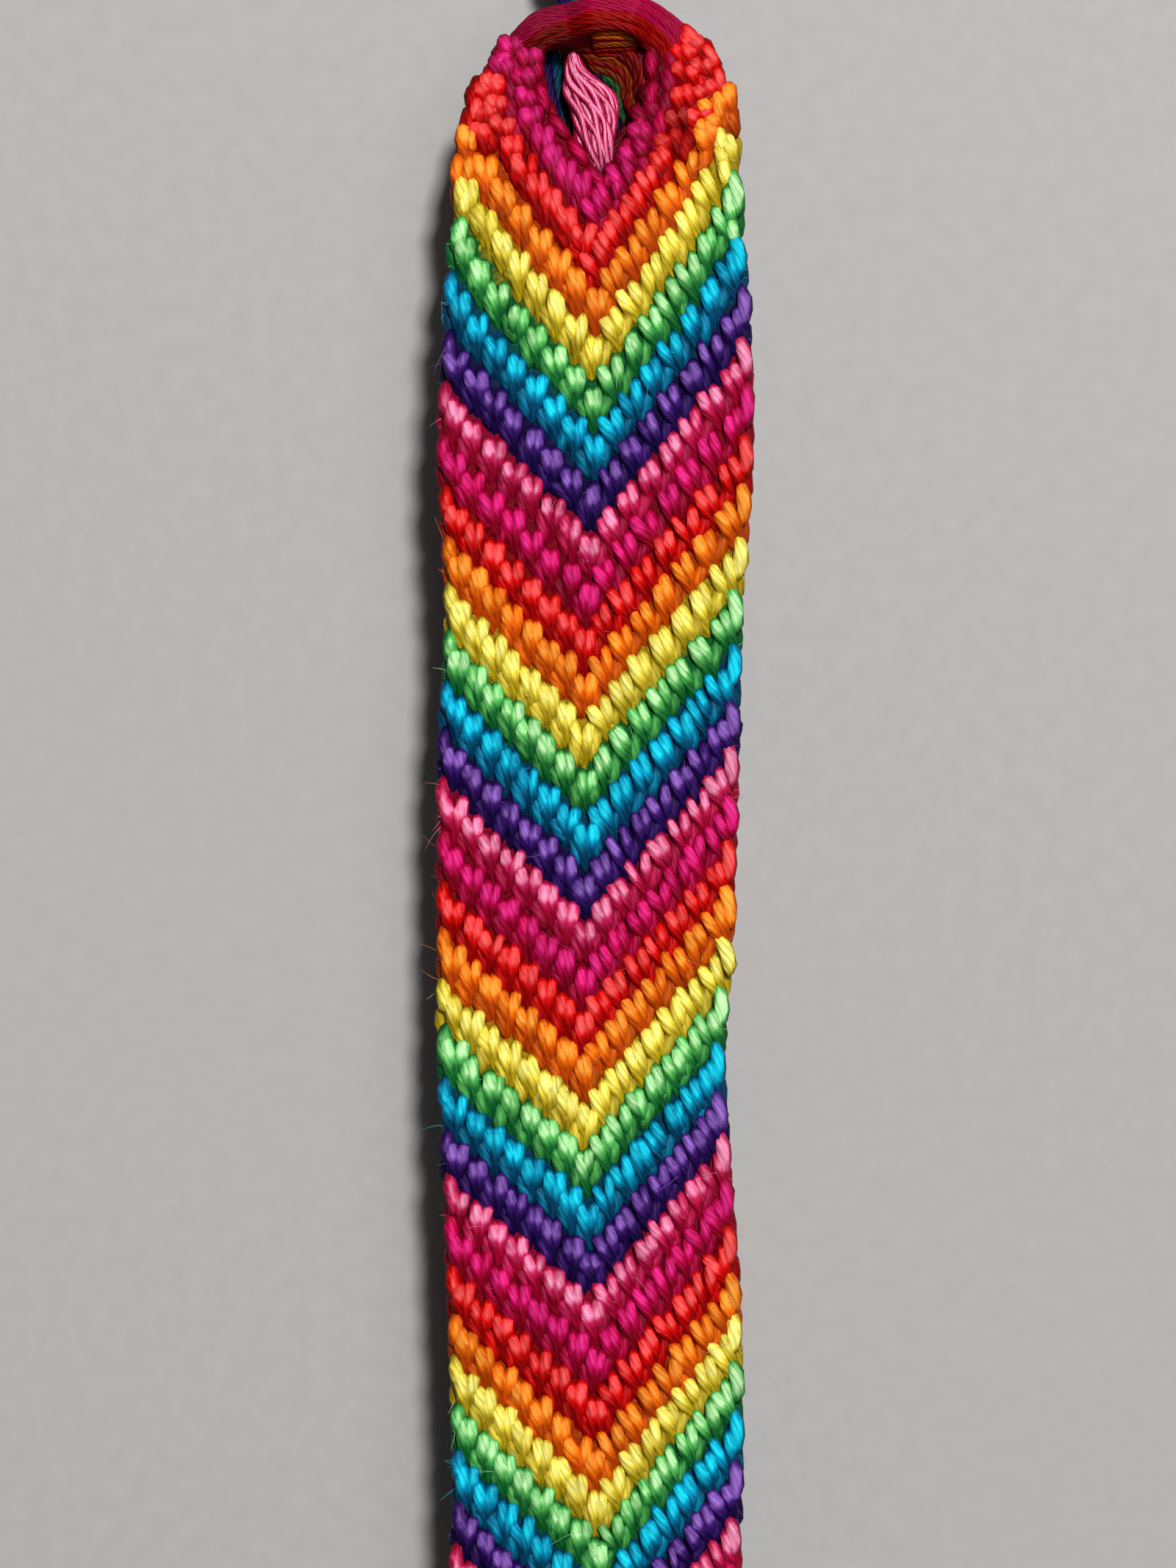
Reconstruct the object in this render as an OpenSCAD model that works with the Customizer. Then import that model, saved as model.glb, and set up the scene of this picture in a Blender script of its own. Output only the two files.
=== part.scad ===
// Knotted string bracelet, tied closed and lying flattened.
// X runs across the band, Y along it towards the loop end, Z up from the surface it lies on.

/* [Band] */
// Greatest width of the knotted band
band_w = 17; // [14:0.5:20]
// Thickness of the knotted band
band_t = 1.9; // [1.7:0.1:2.1]
// Clear height inside the flattened bracelet, at the fold
inner_gap = 5.2; // [5:0.1:6]
// Sag of the upper layer at its middle
upper_sag = 0.6; // [0:0.1:0.8]
// Length from the loop's rim to the outside of the fold
lay_len = 88; // [76:1:100]
// Length of the bare strings between the rim and the band's tail
tie_len = 22; // [21:0.5:26]

/* [Loop] */
// Length of the loop from its rim to the band
loop_len = 12; // [11.5:0.1:12.5]
// Length of the loop's hole
hole_len = 7.6; // [7:0.1:8]
// Greatest width of the loop's hole
hole_w = 5.4; // [5.2:0.1:5.8]
// Drop of the rim below the flat top of the band
rim_drop = 2.2; // [2:0.1:2.4]

/* [Fastening] */
// Thickness of a wrap of the closing knot
wrap_d = 2; // [1.6:0.1:2.2]
// Diameter of the closing knot
knot_d = 5.6; // [5:0.1:6]
// Length of the trimmed ends past the knot
tail_len = 10; // [7:0.5:14]

/* [Hidden] */

// Small gap between pieces that meet
seat = 0.1;
// Width over which an edge of the knotting is rounded off
edge_r = 0.6;

// Heights of the middle of the lower and of the upper layer
under_z = band_t / 2;
upper_z = 1.5 * band_t + inner_gap;
fold_r = (upper_z - under_z) / 2;

// Distances are measured from the loop's rim: positive along the band, negative past the rim
knot_start = -1.9;
knot_len = 2 * wrap_d;
tail_start = knot_start - knot_len - seat;
past_rim = tail_len - tail_start;
rim_y = (lay_len - past_rim) / 2;
fold_y = rim_y - lay_len + fold_r + band_t / 2;
fold_d = rim_y - fold_y;
function y_at(d) = rim_y - d;

// The upper layer curves down towards the rim, and sags a little between the loop and the fold
droop_len = 18;
sag_start = 12;
function droop(d) = rim_drop * pow(max(0, droop_len - d) / droop_len, 2);
function sag(d) = d < sag_start || d > fold_d ? 0
    : upper_sag * pow(sin(180 * (d - sag_start) / (fold_d - sag_start)), 2);
function upper_at(d) = upper_z - droop(d) - sag(d);
slope_run = 0.01;
function upper_slope(d) = (upper_at(d + slope_run) - upper_at(d - slope_run)) / (2 * slope_run);

// Column c of a table whose first column rises, read at s along a smooth curve through its rows
function row_of(table, s, i = 0) = i >= len(table) - 2 || s < table[i + 1][0] ? i : row_of(table, s, i + 1);
function slope(table, i, c) =
    let (a = table[max(0, i - 1)], b = table[min(len(table) - 1, i + 1)])
    (b[c] - a[c]) / (b[0] - a[0]);
function look_up(table, s, c) =
    let (i = row_of(table, s), a = table[i], b = table[i + 1], run = b[0] - a[0],
         f = min(1, max(0, (s - a[0]) / run)), g = 1 - f)
    a[c] * (1 + 2 * f) * g * g + b[c] * (1 + 2 * g) * f * f
    + run * f * g * (slope(table, i, c) * g - slope(table, i + 1, c) * f);

// A closed skin over rings of points, each ring with the same number of points
module skin(rings, closed = false) {
    n = len(rings);
    m = len(rings[0]);
    sides = [for (i = [0 : n - (closed ? 1 : 2)]) for (j = [0 : m - 1])
        let (a = i * m, b = ((i + 1) % n) * m, k = (j + 1) % m)
        each [[a + j, b + j, b + k], [a + j, b + k, a + k]]];
    caps = closed ? [] : [[for (j = [0 : m - 1]) j], [for (j = [m - 1 : -1 : 0]) (n - 1) * m + j]];
    polyhedron(points = [for (r = rings) each r], faces = concat(sides, caps), convexity = 6);
}

// Ring through the band, as shares: [across, how much of edge_r is taken off, up]
BAND_SECTION = [
    [1, 0, 0.22], [1, 1, 0.5], [-1, -1, 0.5], [-1, 0, 0.22],
    [-1, 0, -0.22], [-1, -1, -0.5], [1, 1, -0.5], [1, 0, -0.22]
];

// Edges of the band: [distance from the rim, left share of the half width, right share of the half width]
BAND_EDGES = [
    [12, 0.91, 0.93], [15, 0.95, 0.97], [19, 0.97, 0.99], [23, 1.0, 1.0], [27, 0.98, 0.97], [32, 0.95, 0.93],
    [41, 1.0, 0.9], [50, 1.0, 0.87], [56, 1.0, 0.82], [62, 0.97, 0.86], [68, 0.94, 0.91], [74, 0.91, 0.93],
    [84, 0.91, 0.91], [96, 0.9, 0.9], [104, 0.9, 0.9], [110, 0.92, 0.88], [116, 0.94, 0.83], [122, 0.96, 0.79],
    [128, 0.96, 0.83], [137, 0.95, 0.87], [148, 0.93, 0.9]
];

// Places along the band, measured along its middle from the rim
bend_len = PI * fold_r;
tail_d = fold_d + bend_len + (fold_d - tie_len);
// The tail narrows to a blunt point as its strings are drawn together
point_len = 6;
point_w = 0.46;
function point_share(s) = 1 - (1 - point_w) * pow(max(0, s - (tail_d - point_len)) / point_len, 1.5);

// Middle of the band at a distance s along it: [y, z, direction in which its outer side faces]
function band_at(s) =
    s <= fold_d ? [y_at(s), upper_at(s), 90 - atan(upper_slope(s))]
    : s <= fold_d + bend_len
        ? let (a = 90 + (s - fold_d) / fold_r * 180 / PI)
          [fold_y + fold_r * cos(a), upper_z - fold_r + fold_r * sin(a), a]
    : [fold_y + s - fold_d - bend_len, under_z, 270];

function band_ring(s) =
    let (p = band_at(s), narrow = point_share(s))
    [for (q = BAND_SECTION)
        let (half = band_w / 2 * min(1, look_up(BAND_EDGES, s, q[0] < 0 ? 1 : 2)) * narrow, up = q[2] * band_t)
        [q[0] * half - q[1] * edge_r, p[0] + up * cos(p[2]), p[1] + up * sin(p[2])]];

straight_step = 3;
fold_steps = 12;
function upper_stops() = [for (s = [loop_len + seat : straight_step : fold_d - 1]) s];
function fold_stops() = [for (i = [0 : fold_steps]) fold_d + bend_len * i / fold_steps];
function under_stops() = [for (s = [fold_d + bend_len + straight_step : straight_step : tail_d - point_len - 1]) s];
function point_stops() = [for (i = [0 : 4]) tail_d - point_len + point_len * i / 4];

module knotted_band() {
    color("crimson")
        skin([for (s = concat(upper_stops(), fold_stops(), under_stops(), point_stops())) band_ring(s)]);
}

// Hole of the loop, a teardrop whose point looks along the band: a = 0 is the point
hole_near = 1.4;
hole_x = -0.2;
hole_lean = 0.6;
drop_peak = 0.7;
function hole_at(a) =
    let (along = (1 + cos(a)) / 2, side = sin(a) * pow(sin(a / 2), 1.5) / drop_peak)
    [hole_x + hole_lean * along + hole_w / 2 * side, hole_near + hole_len * along];

// Outside of the loop: a round end that leans to one side, straight sides, and the line where the band starts
round_len = 6;
round_w = 14.2;
end_lean = 1.1;
loop_join_l = 0.91 * band_w / 2;
loop_join_r = 0.93 * band_w / 2;
function root_of(v) = sign(v) * pow(abs(v), 0.86);
function outside_at(a) =
    a <= 45 ? [loop_join_r * a / 45, loop_len]
    : a < 90 ? let (f = (a - 45) / 45)
        [loop_join_r + (round_w / 2 - loop_join_r) * f, loop_len + (round_len - loop_len) * f]
    : a <= 270 ? let (d = round_len * (1 + root_of(cos(a))))
        [end_lean * (1 - d / round_len) + round_w / 2 * root_of(sin(a)), d]
    : a < 315 ? let (f = (a - 270) / 45)
        [-round_w / 2 + (round_w / 2 - loop_join_l) * f, round_len + (loop_len - round_len) * f]
    : [-loop_join_l * (360 - a) / 45, loop_len];

// Ring through the loop's own band, as shares: [from the hole outwards, how much of edge_r is added, up]
LOOP_SECTION = [
    [0, 0, 0.22], [0, 1, 0.5], [1, -1, 0.5], [1, 0, 0.22],
    [1, 0, -0.22], [1, -1, -0.5], [0, 1, -0.5], [0, 0, -0.22]
];

function loop_ring(a) =
    let (p = hole_at(a), q = outside_at(a), run = q - p, r = min(edge_r, norm(run) / 3) / norm(run))
    [for (k = LOOP_SECTION)
        let (c = p + run * (k[0] + k[1] * r))
        [c[0], y_at(c[1]), upper_at(c[1]) + k[2] * band_t]];

loop_spokes = 40;
module end_loop() {
    color("mediumvioletred")
        skin([for (i = [0 : loop_spokes - 1]) loop_ring(360 * i / loop_spokes)], closed = true);
}

// Bundles of bare strings: a smooth tube with an oval section, described by rows of
// [distance from the rim, across, share of the way up from the lower to the upper layer, half width, half height]
TIE_UNDER = [
    [-1.9, -0.6, 0.57, 1.6, 1.0], [0, -1.1, 0.52, 1.55, 1.0], [1.4, -1.25, 0.56, 1.5, 0.95],
    [3, -1.15, 0.68, 1.5, 1.0], [4.4, -0.95, 0.735, 1.55, 1.1], [6, -0.5, 0.75, 1.8, 1.1],
    [9, -0.2, 0.645, 1.8, 1.1], [12, -0.4, 0.535, 1.9, 1.1], [15, -0.6, 0.36, 2.0, 1.1],
    [19, -0.7, 0.09, 2.2, 1.0], [22, -0.8, 0, 2.4, 0.8]
];
TIE_OVER = [
    [-1.9, 0.6, 1.05, 0.9, 0.55], [-0.8, 0.9, 1.28, 0.9, 0.55], [0.6, 1.1, 1.4, 0.9, 0.55],
    [1.6, 1.2, 1.33, 0.9, 0.55], [2.8, 1.35, 1.0, 0.9, 0.55], [4.2, 1.55, 0.7, 0.9, 0.55],
    [6, 1.5, 0.48, 0.9, 0.55], [9, 1.6, 0.35, 0.95, 0.55], [12, 2.0, 0.27, 0.95, 0.55],
    [15, 2.4, 0.17, 0.95, 0.55], [19, 2.65, 0.05, 0.95, 0.55], [22, 2.75, 0, 0.95, 0.55]
];

oval_sides = 10;
tie_step = 0.8;
function oval(x, y, z, half_w, half_h) =
    [for (j = [0 : oval_sides - 1])
        let (a = 360 * j / oval_sides) [x + half_w * cos(a), y, z + half_h * sin(a)]];

// The last row stands at the band's tail, wherever that is
function stretched(d) = d <= 0 ? d : d * TIE_UNDER[len(TIE_UNDER) - 1][0] / tie_len;
function tie_ring(table, d) =
    let (s = stretched(d), z = under_z + look_up(table, s, 2) * (upper_at(s) - under_z))
    oval(look_up(table, s, 1), y_at(d), z, look_up(table, s, 3), look_up(table, s, 4));
function tie_stops() = concat([for (d = [knot_start + seat : tie_step : tie_len - tie_step]) d], [tie_len - seat]);

module tie(table) {
    skin([for (d = tie_stops()) tie_ring(table, d)]);
}

module tie_under() {
    color("hotpink") tie(TIE_UNDER);
}

module tie_over() {
    color("firebrick") tie(TIE_OVER);
}

// Closing knot: two round wraps, one behind the other, on a filled core
knot_lift = 0.6;
knot_z = (under_z + upper_at(0)) / 2 + knot_lift;
wrap_r = (knot_d - wrap_d) / 2;
core_len = knot_len - 0.3 * wrap_d;

module knot_wrap() {
    rotate_extrude($fn = 48) translate([wrap_r, 0]) circle(d = wrap_d, $fn = 24);
}

module tie_knot() {
    color("purple")
        translate([0, y_at(knot_start - knot_len / 2), knot_z])
            rotate([90, 0, 0])
                union() {
                    cylinder(r = wrap_r, h = core_len, center = true, $fn = 48);
                    for (side = [-1, 1]) translate([0, 0, side * wrap_d / 2]) knot_wrap();
                }
}

// Trimmed ends: they droop from the knot to the surface and spread a little
tail_root_x = 0.95;
left_tip_x = -3.0;
right_tip_x = 2.7;
tail_root_h = 1.0;
tail_tip_h = 0.85;
tail_root_w = 0.8;
tail_tip_w = 1.4;
tail_steps = 14;
function tail_ring(f, x_root, x_tip) =
    let (half_h = tail_root_h + (tail_tip_h - tail_root_h) * f,
         lie = pow(max(0, 1 - f / 0.85), 1.8),
         z = half_h + (knot_z - tail_root_h) * lie,
         x = x_root + (x_tip - x_root) * pow(f, 1.2))
    oval(x, y_at(tail_start - tail_len * f), z, tail_root_w + (tail_tip_w - tail_root_w) * f, half_h);

module tie_tail(x_root, x_tip) {
    skin([for (i = [tail_steps : -1 : 0]) tail_ring(i / tail_steps, x_root, x_tip)]);
}

module tie_tail_left() {
    color("darkturquoise") tie_tail(-tail_root_x, left_tip_x);
}

module tie_tail_right() {
    color("orange") tie_tail(tail_root_x, right_tip_x);
}

knotted_band();
end_loop();
tie_under();
tie_over();
tie_knot();
tie_tail_left();
tie_tail_right();
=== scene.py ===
"""A knotted string bracelet, tied closed and lying flattened: a band of V-shaped rows of knots, the loop at
its start, the bare strings that pass through the loop, their closing knot and the trimmed ends.

X runs across the band, Y along it towards the loop end, Z up from the floor. Sizes are in millimetres and
become metres where a mesh is made. A place on the band is (x, s, h): x across it, s along its middle from
the loop's rim, and h from the middle of its thickness towards the bracelet's outside.
"""

import logging
import math
from collections.abc import Iterable
from dataclasses import dataclass, field
from enum import Enum

import bpy
import numpy as np
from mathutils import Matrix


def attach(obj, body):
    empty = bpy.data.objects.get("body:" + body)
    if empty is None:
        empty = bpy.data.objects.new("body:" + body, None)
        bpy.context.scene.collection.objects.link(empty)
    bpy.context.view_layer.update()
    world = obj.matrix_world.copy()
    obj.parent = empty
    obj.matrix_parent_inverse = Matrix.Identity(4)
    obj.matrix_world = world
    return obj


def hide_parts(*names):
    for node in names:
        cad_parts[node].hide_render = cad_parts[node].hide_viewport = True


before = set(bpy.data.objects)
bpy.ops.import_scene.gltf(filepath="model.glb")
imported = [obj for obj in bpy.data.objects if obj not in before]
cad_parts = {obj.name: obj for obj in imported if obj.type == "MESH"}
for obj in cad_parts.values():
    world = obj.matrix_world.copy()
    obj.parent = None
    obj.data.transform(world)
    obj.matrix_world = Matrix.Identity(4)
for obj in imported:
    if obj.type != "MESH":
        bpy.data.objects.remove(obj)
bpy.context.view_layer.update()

LOG = logging.getLogger("string_bracelet")
MM = 0.001
BODY = "root"
SEED = 20
TAU = 2 * math.pi
PLY_TWIST = 5.5  # Length in which the plies of a floss turn once, in mm


class Dye(Enum):
    """The eight colours of floss, in the order in which their rows follow one another down the band."""

    MAGENTA = "magenta"
    RED = "red"
    ORANGE = "orange"
    YELLOW = "yellow"
    GREEN = "green"
    TEAL = "teal"
    PURPLE = "purple"
    PINK = "pink"

    @property
    def number(self) -> int:
        """Its place in that order, from 0."""
        return DYES.index(self)


DYES = tuple(Dye)
X_AXIS, Y_AXIS, Z_AXIS = np.eye(3)


def numbers(table: Iterable[tuple]) -> np.ndarray:
    """The number of the dye with which each row of a table starts."""
    return np.array([row[0].number for row in table])


def linear(colour: str) -> tuple[float, float, float]:
    """Turns an sRGB colour into linear light.

    Args:
        colour: six hex digits after a hash sign.

    Returns:
        Red, green and blue from 0 to 1.
    """
    shares = [int(colour[i:i + 2], 16) / 255 for i in (1, 3, 5)]
    return tuple(c / 12.92 if c <= 0.04045 else ((c + 0.055) / 1.055) ** 2.4 for c in shares)


class Nodes:
    """A material and the nodes that make its look. A value is a plain one or the output of another node."""

    def __init__(self, name: str) -> None:
        """Makes a material of that name, with no nodes yet."""
        self.material = bpy.data.materials.new(name)
        self.material.use_nodes = True
        self.tree = self.material.node_tree
        self.tree.nodes.clear()

    def put(self, kind: str, inputs: dict | None = None, **settings: object) -> bpy.types.Node:
        """Adds a node with its settings, values and links.

        Args:
            kind: Blender's name for the node, without the ShaderNode that it starts with.
            inputs: by the input's name or number, a value for it or the output that it is linked from.
            settings: the node's own settings, by name.

        Returns:
            The new node.
        """
        node = self.tree.nodes.new(f"ShaderNode{kind}")
        for name, value in settings.items():
            setattr(node, name, value)
        for name, value in (inputs or {}).items():
            if isinstance(value, bpy.types.NodeSocket):
                self.tree.links.new(value, node.inputs[name])
            else:
                node.inputs[name].default_value = value
        return node

    def mark(self, name: str, output: str = "Fac") -> bpy.types.NodeSocket:
        """A number or colour that the mesh holds for each point."""
        return self.put("Attribute", attribute_name=name).outputs[output]

    def math(self, operation: str, *values: object) -> bpy.types.NodeSocket:
        """The result of one operation."""
        return self.put("Math", dict(enumerate(values)), operation=operation).outputs[0]

    def times(self, first: object, second: object) -> bpy.types.NodeSocket:
        """The product of two values."""
        return self.math("MULTIPLY", first, second)

    def mapped(self, value: object, *ends: float, soft: bool = False) -> bpy.types.NodeSocket:
        """A value stretched from two ends to 0 and 1 or to the other two, with soft ends or straight."""
        kind = "SMOOTHSTEP" if soft else "LINEAR"
        return self.put("MapRange", dict(enumerate((value, *ends))), interpolation_type=kind).outputs[0]

    def mixed(self, share: object, first: object, second: object) -> bpy.types.NodeSocket:
        """The first colour with a share of the second one in it."""
        return self.put("Mix", {0: share, 6: first, 7: second}, data_type="RGBA").outputs[2]

    def noise(self, where: object, scale: float, detail: float,
              roughness: float = 0.5) -> bpy.types.NodeSocket:
        """Soft random values from 0 to 1 at a place."""
        inputs = {"Vector": where, "Scale": scale, "Detail": detail, "Roughness": roughness}
        return self.put("TexNoise", inputs).outputs["Fac"]

    def dimmed(self, value: object, colour: object) -> bpy.types.NodeSocket:
        """A colour made darker or lighter."""
        return self.put("HueSaturation", {"Value": value, "Color": colour}).outputs[0]

    def bump(self, strength: float, depth: float, height: object) -> bpy.types.NodeSocket:
        """The direction that a relief of so many millimetres turns the surface to."""
        return self.put("Bump", {"Strength": strength, "Distance": depth * MM, "Height": height}).outputs[0]

    def shaded(self, inputs: dict) -> bpy.types.Material:
        """Ends the nodes in a surface with these inputs, and gives the material."""
        self.put("OutputMaterial", {0: self.put("BsdfPrincipled", inputs).outputs[0]})
        return self.material


def look_up(table: tuple[tuple[float, ...], ...], at: np.ndarray, column: int) -> np.ndarray:
    """Reads a column of a table along a smooth curve through its rows: the cubic that meets each row with
    the slope between its two neighbours.

    Args:
        table: rows whose first column rises.
        at: places in the first column.
        column: which column to read.

    Returns:
        The column's value at each place.
    """
    rows = np.array(table)
    xs, ys = rows[:, 0], rows[:, column]
    last = len(xs) - 1
    before, after = np.maximum(np.arange(last + 1) - 1, 0), np.minimum(np.arange(last + 1) + 1, last)
    slopes = (ys[after] - ys[before]) / (xs[after] - xs[before])
    i = np.clip(np.searchsorted(xs, at, side="right") - 1, 0, last - 1)
    run = xs[i + 1] - xs[i]
    f = np.clip((at - xs[i]) / run, 0, 1)
    g = 1 - f
    return (ys[i] * (1 + 2 * f) * g * g + ys[i + 1] * (1 + 2 * g) * f * f
            + run * f * g * (slopes[i] * g - slopes[i + 1] * f))


def smooth(value: np.ndarray, low: float, high: float) -> np.ndarray:
    """A soft step from 0 at low to 1 at high."""
    f = np.clip((value - low) / (high - low), 0, 1)
    return f * f * (3 - 2 * f)


def along(points: np.ndarray, gap: float) -> tuple[np.ndarray, np.ndarray]:
    """Spreads places evenly along a chain of straight stretches.

    Args:
        points: the chain's points, one a row.
        gap: the distance wanted between two places.

    Returns:
        The places, and the chain's direction at each.
    """
    steps = np.diff(points, axis=0)
    run = np.concatenate([[0], np.cumsum(np.linalg.norm(steps, axis=1))])
    count = max(2, round(run[-1] / gap) + 1)
    at = np.linspace(0, run[-1], count)
    places = np.stack([np.interp(at, run, points[:, k]) for k in range(points.shape[1])], axis=1)
    heading = np.gradient(places, axis=0)
    return places, heading / np.linalg.norm(heading, axis=1, keepdims=True)


@dataclass
class Strands:
    """Closed strands for one mesh. Each is a ring of points carried along a path, with a pole that closes
    either end.

    rings holds [strand, ring, point round it, xyz] in millimetres, poles [strand, end, xyz]. turn and run
    are the plies' place at the first point of each ring and its distance along the strand, in turns and in
    millimetres, with the poles' own first and last. marks are numbers for each point of the rings, and
    pole_marks for each pole.
    """

    rings: np.ndarray
    poles: np.ndarray
    turn: np.ndarray
    run: np.ndarray
    marks: dict[str, np.ndarray] = field(default_factory=dict)
    pole_marks: dict[str, np.ndarray] = field(default_factory=dict)

    def picked(self, which: np.ndarray) -> "Strands":
        """The strands for which which is true."""
        return Strands(self.rings[which], self.poles[which], self.turn[which], self.run[which],
                       {k: v[which] for k, v in self.marks.items()},
                       {k: v[which] for k, v in self.pole_marks.items()})

    def points(self) -> np.ndarray:
        """All the points in metres, strand by strand, its rings first and then its poles."""
        n = len(self.rings)
        return np.concatenate([self.rings.reshape(n, -1, 3), self.poles], axis=1).reshape(-1, 3) * MM

    def corners(self) -> tuple[np.ndarray, np.ndarray, np.ndarray]:
        """The faces, and the map on them, which has turns of the plies in u and millimetres along the
        strand in v.

        Returns:
            The quads between rings, the triangles at the poles, and a pair (u, v) for each corner of the
            quads and then of the triangles.
        """
        n, rings, around, _ = self.rings.shape
        a, r = (k.ravel() for k in np.meshgrid(np.arange(around), np.arange(rings - 1)))
        quad_a, quad_r = np.stack([a, a + 1, a + 1, a], axis=1), np.stack([r, r, r + 1, r + 1], axis=1)
        a = np.arange(around)
        low, high = np.zeros(around, int), np.full(around, rings - 1)
        tri_a = np.concatenate([np.stack([a, a + 1, a], axis=1), np.stack([a, a, a + 1], axis=1)])
        tri_r = np.concatenate([np.stack([low - 1, low, low], axis=1),
                                np.stack([high + 1, high, high], axis=1)])
        start = (np.arange(n) * (rings * around + 2))[:, None, None]
        faces, maps = [], []
        for at_a, at_r in ((quad_a, quad_r), (tri_a, tri_r)):
            corner = at_r * around + at_a % around
            corner = np.where(at_r < 0, rings * around, np.where(at_r >= rings, rings * around + 1, corner))
            faces.append((corner[None] + start).reshape(-1, at_a.shape[1]))
            maps.append(np.stack([at_a / around + self.turn[:, at_r + 1], self.run[:, at_r + 1]],
                                 axis=-1).reshape(-1, 2))
        return faces[0], faces[1], np.concatenate(maps)

    def mark_values(self, name: str) -> np.ndarray:
        """A mark's numbers in the order of points()."""
        n = len(self.rings)
        flat = self.marks[name].reshape(n, self.rings.shape[1] * self.rings.shape[2], -1)
        ends = self.pole_marks[name].reshape(n, 2, -1)
        return np.concatenate([flat, ends], axis=1).reshape(n * (flat.shape[1] + 2), -1)


def signed_volume(points: np.ndarray, quads: np.ndarray, tris: np.ndarray) -> float:
    """Six times the volume inside closed faces, which comes out negative where they point inwards."""
    cut = np.concatenate([quads[:, [0, 1, 2]], quads[:, [0, 2, 3]], tris])
    a, b, c = (points[cut[:, k]] for k in range(3))
    return float(np.einsum("ij,ij->", a, np.cross(b, c)))


@dataclass(frozen=True)
class Piece:
    """A finished piece: its name, its material slot and the plain solids it stands for."""

    name: str
    slot: str
    nodes: tuple[str, ...]

    def made(self, points: np.ndarray, quads: np.ndarray, tris: np.ndarray, uv: np.ndarray,
             marks: dict[str, np.ndarray], material: bpy.types.Material) -> bpy.types.Object:
        """Makes the mesh, turned so that its faces point outwards.

        Args:
            points: one a row, in metres.
            quads: faces of four corners.
            tris: faces of three corners.
            uv: the map for each corner of the quads and then of the tris.
            marks: numbers for each point by name, one or three columns each.
            material: the piece's finish.

        Returns:
            The object, which rides on the bracelet.
        """
        if signed_volume(points, quads, tris) < 0:
            split = quads.size
            quads, tris = quads[:, ::-1], tris[:, ::-1]
            uv = np.concatenate([uv[:split].reshape(-1, 4, 2)[:, ::-1].reshape(-1, 2),
                                 uv[split:].reshape(-1, 3, 2)[:, ::-1].reshape(-1, 2)])
        mesh = bpy.data.meshes.new(self.name)
        mesh.from_pydata(points.tolist(), [], quads.tolist() + tris.tolist())
        mesh.polygons.foreach_set("use_smooth", np.ones(len(mesh.polygons), bool))
        mesh.uv_layers.new(name="Plies").data.foreach_set("uv", uv.astype(np.float32).ravel())
        for name, values in marks.items():
            kind, field_name = "FLOAT", "value"
            if values.shape[1] == 3:
                kind, field_name = "FLOAT_COLOR", "color"
                values = np.concatenate([values, np.ones((len(values), 1))], axis=1)
            held = mesh.attributes.new(name, kind, "POINT").data
            held.foreach_set(field_name, values.astype(np.float32).ravel())
        mesh.materials.append(material)
        mesh.validate()
        mesh.update()
        obj = bpy.data.objects.new(self.name, mesh)
        bpy.context.scene.collection.objects.link(obj)
        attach(obj, BODY)
        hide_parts(*self.nodes)
        LOG.info("%s: %d faces", self.name, len(mesh.polygons))
        return obj

    def spun(self, strands: Strands, material: bpy.types.Material) -> bpy.types.Object:
        """Makes the piece from strands."""
        quads, tris, uv = strands.corners()
        marks = {name: strands.mark_values(name) for name in strands.marks}
        return self.made(strands.points(), quads, tris, uv, marks, material)


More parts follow.
